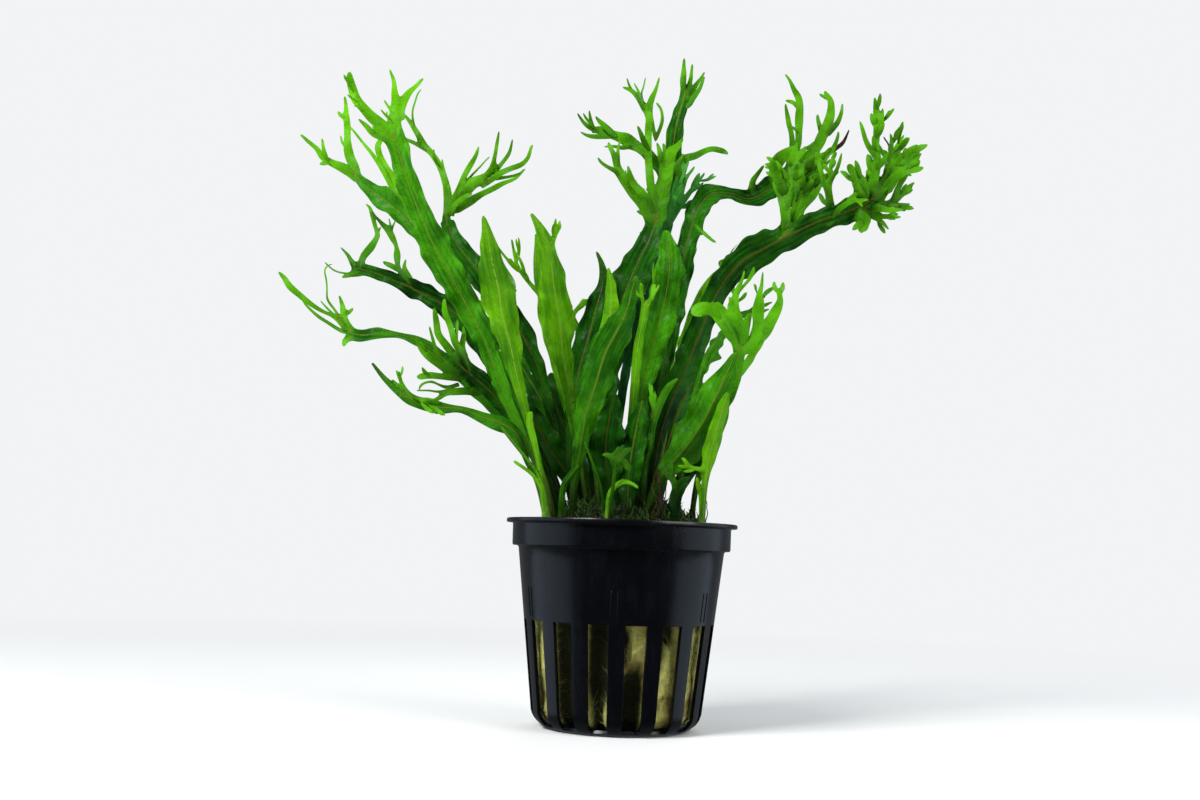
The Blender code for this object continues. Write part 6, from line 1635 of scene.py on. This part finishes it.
def makeSkinMaterial():
    way = skinFinish
    material, tree, shader, _ = newMaterial("rhizome_finish", way["plain"])
    spots, patches = (useGroup(tree, mottle, **way[label]) for label in ("spots", "patches"))
    colour = blend(tree, spots["Patch"], way["dark"], way["plain"])
    colour = blend(tree, times(tree, patches["Patch"], way["greening"]), colour, way["green"])
    colour = blend(tree, readAttribute(tree, "strand")[0], colour, way["hair"])
    setFinish(tree, shader, way, colour, way["roughness"], spots["Grain"])
    return material


skin = makeSkinMaterial()
makeRhizomePiece(skin)
makeRootPiece(skin)
print("rhizome and aerial root grown")


# Stage, camera and light

stageWay = dict(radius=6.0, colour=(0.80, 0.80, 0.79), fade=(0.10, 0.50), roughness=0.8, specular=0.2)
backdrop = (0.89, 0.90, 0.91)


def makeFloor():
    # pale round the pot, run out into the backdrop further away, and clear for glossy rays
    bpy.ops.mesh.primitive_circle_add(vertices=96, radius=stageWay["radius"], fill_type="NGON")
    floor = bpy.context.object
    floor.name = "floor"
    material, tree, shader, output = newMaterial("floor_finish", stageWay["colour"])
    plug(tree, shader.inputs["Base Color"], (*stageWay["colour"], 1))
    shader.inputs["Roughness"].default_value = stageWay["roughness"]
    shader.inputs["Specular IOR Level"].default_value = stageWay["specular"]
    far = addNode(tree, "ShaderNodeVectorMath", {0: objectPlace(tree)}, operation="LENGTH").outputs["Value"]
    plain = addNode(tree, "ShaderNodeEmission", {"Color": (*backdrop, 1), "Strength": 1.0})
    both = mixShaders(tree, ramp(tree, far, *stageWay["fade"]), shader.outputs[0], plain.outputs[0])
    clear = tree.nodes.new("ShaderNodeBsdfTransparent")
    glossy = tree.nodes.new("ShaderNodeLightPath").outputs["Is Glossy Ray"]
    tree.links.new(mixShaders(tree, glossy, both, clear.outputs[0]), output.inputs["Surface"])
    floor.data.materials.append(material)


viewWay = dict(place=(-6.3, -340, 41), pitch=6.131, roll=2.0, lens=42.534, sensor=36)


def makeCamera():
    camera = bpy.data.objects.new("camera", bpy.data.cameras.new("camera"))
    camera.data.lens = viewWay["lens"]
    camera.data.sensor_width = viewWay["sensor"]
    camera.data.clip_start = 0.01
    camera.matrix_world = (
        Matrix.Translation(Vector(viewWay["place"]) * mm)
        @ Matrix.Rotation(math.radians(90 + viewWay["pitch"]), 4, "X")
        @ Matrix.Rotation(math.radians(viewWay["roll"]), 4, "Z")
    )
    bpy.context.scene.collection.objects.link(camera)
    bpy.context.scene.camera = camera


plainLamp = dict(aim=(0, 0, 0.10), colour=(1, 1, 1))
sideLamp = dict(aim=(0, 0, 0.06), power=0.75, colour=(0.66, 0.82, 1.0))
lamps = {
    "lampKey": dict(place=(-0.40, -0.42, 0.52), size=(0.26, 0.26), power=6.6),
    "lampFill": dict(place=(0.50, -0.34, 0.34), size=(0.40, 0.40), power=2.5),
    "sideLeft": dict(place=(-0.52, -0.02, 0.06), size=(0.62, 0.50), **sideLamp),
    "sideRight": dict(place=(0.52, 0.03, 0.06), size=(0.58, 0.50), **sideLamp),
    "lampBack": dict(place=(0.16, 0.50, 0.52), size=(0.50, 0.30), power=1.4),
}


def makeLamps():
    for name, given in lamps.items():
        lamp = {**plainLamp, **given}
        data = bpy.data.lights.new(name, "AREA")
        data.shape = "RECTANGLE"
        data.size, data.size_y = lamp["size"]
        data.energy, data.color = lamp["power"], lamp["colour"]
        thing = bpy.data.objects.new(name, data)
        thing.location = lamp["place"]
        aim = Vector(lamp["aim"]) - Vector(lamp["place"])
        thing.rotation_euler = aim.to_track_quat("-Z", "Y").to_euler()
        bpy.context.scene.collection.objects.link(thing)


tentWay = dict(walls=0.17, roof=0.26, roofEdge=(0.2, 0.9), front=0.02, frontEdge=(0.20, 0.55), frontTop=(0.62, 0.30),
               colour=(0.86, 0.94, 1.0))


def makeTent():
    # an even white tent that is open and dark towards the front
    world = bpy.data.worlds.new("studio")
    world.use_nodes = True
    bpy.context.scene.world = world
    tree = world.node_tree
    tree.nodes.clear()
    _, y, z = splitVector(tree, tree.nodes.new("ShaderNodeTexCoord").outputs["Generated"])[:3]
    roof = times(tree, tentWay["roof"], ramp(tree, z, *tentWay["roofEdge"]))
    towards = ramp(tree, times(tree, y, -1.0), *tentWay["frontEdge"])
    opening = times(tree, towards, ramp(tree, z, *tentWay["frontTop"]))
    sides = {0: opening, 2: plus(tree, tentWay["walls"], roof), 3: tentWay["front"]}
    level = addNode(tree, "ShaderNodeMix", sides).outputs[0]
    light = addNode(tree, "ShaderNodeBackground", {"Color": (*tentWay["colour"], 1), "Strength": level})
    plain = addNode(tree, "ShaderNodeBackground", {"Color": (*backdrop, 1), "Strength": 1.0})
    seen = tree.nodes.new("ShaderNodeLightPath").outputs["Is Camera Ray"]
    output = tree.nodes.new("ShaderNodeOutputWorld")
    tree.links.new(mixShaders(tree, seen, light.outputs[0], plain.outputs[0]), output.inputs["Surface"])


makeFloor()
makeCamera()
makeLamps()
makeTent()
bpy.context.scene.view_settings.view_transform = "Standard"
print("stage set")
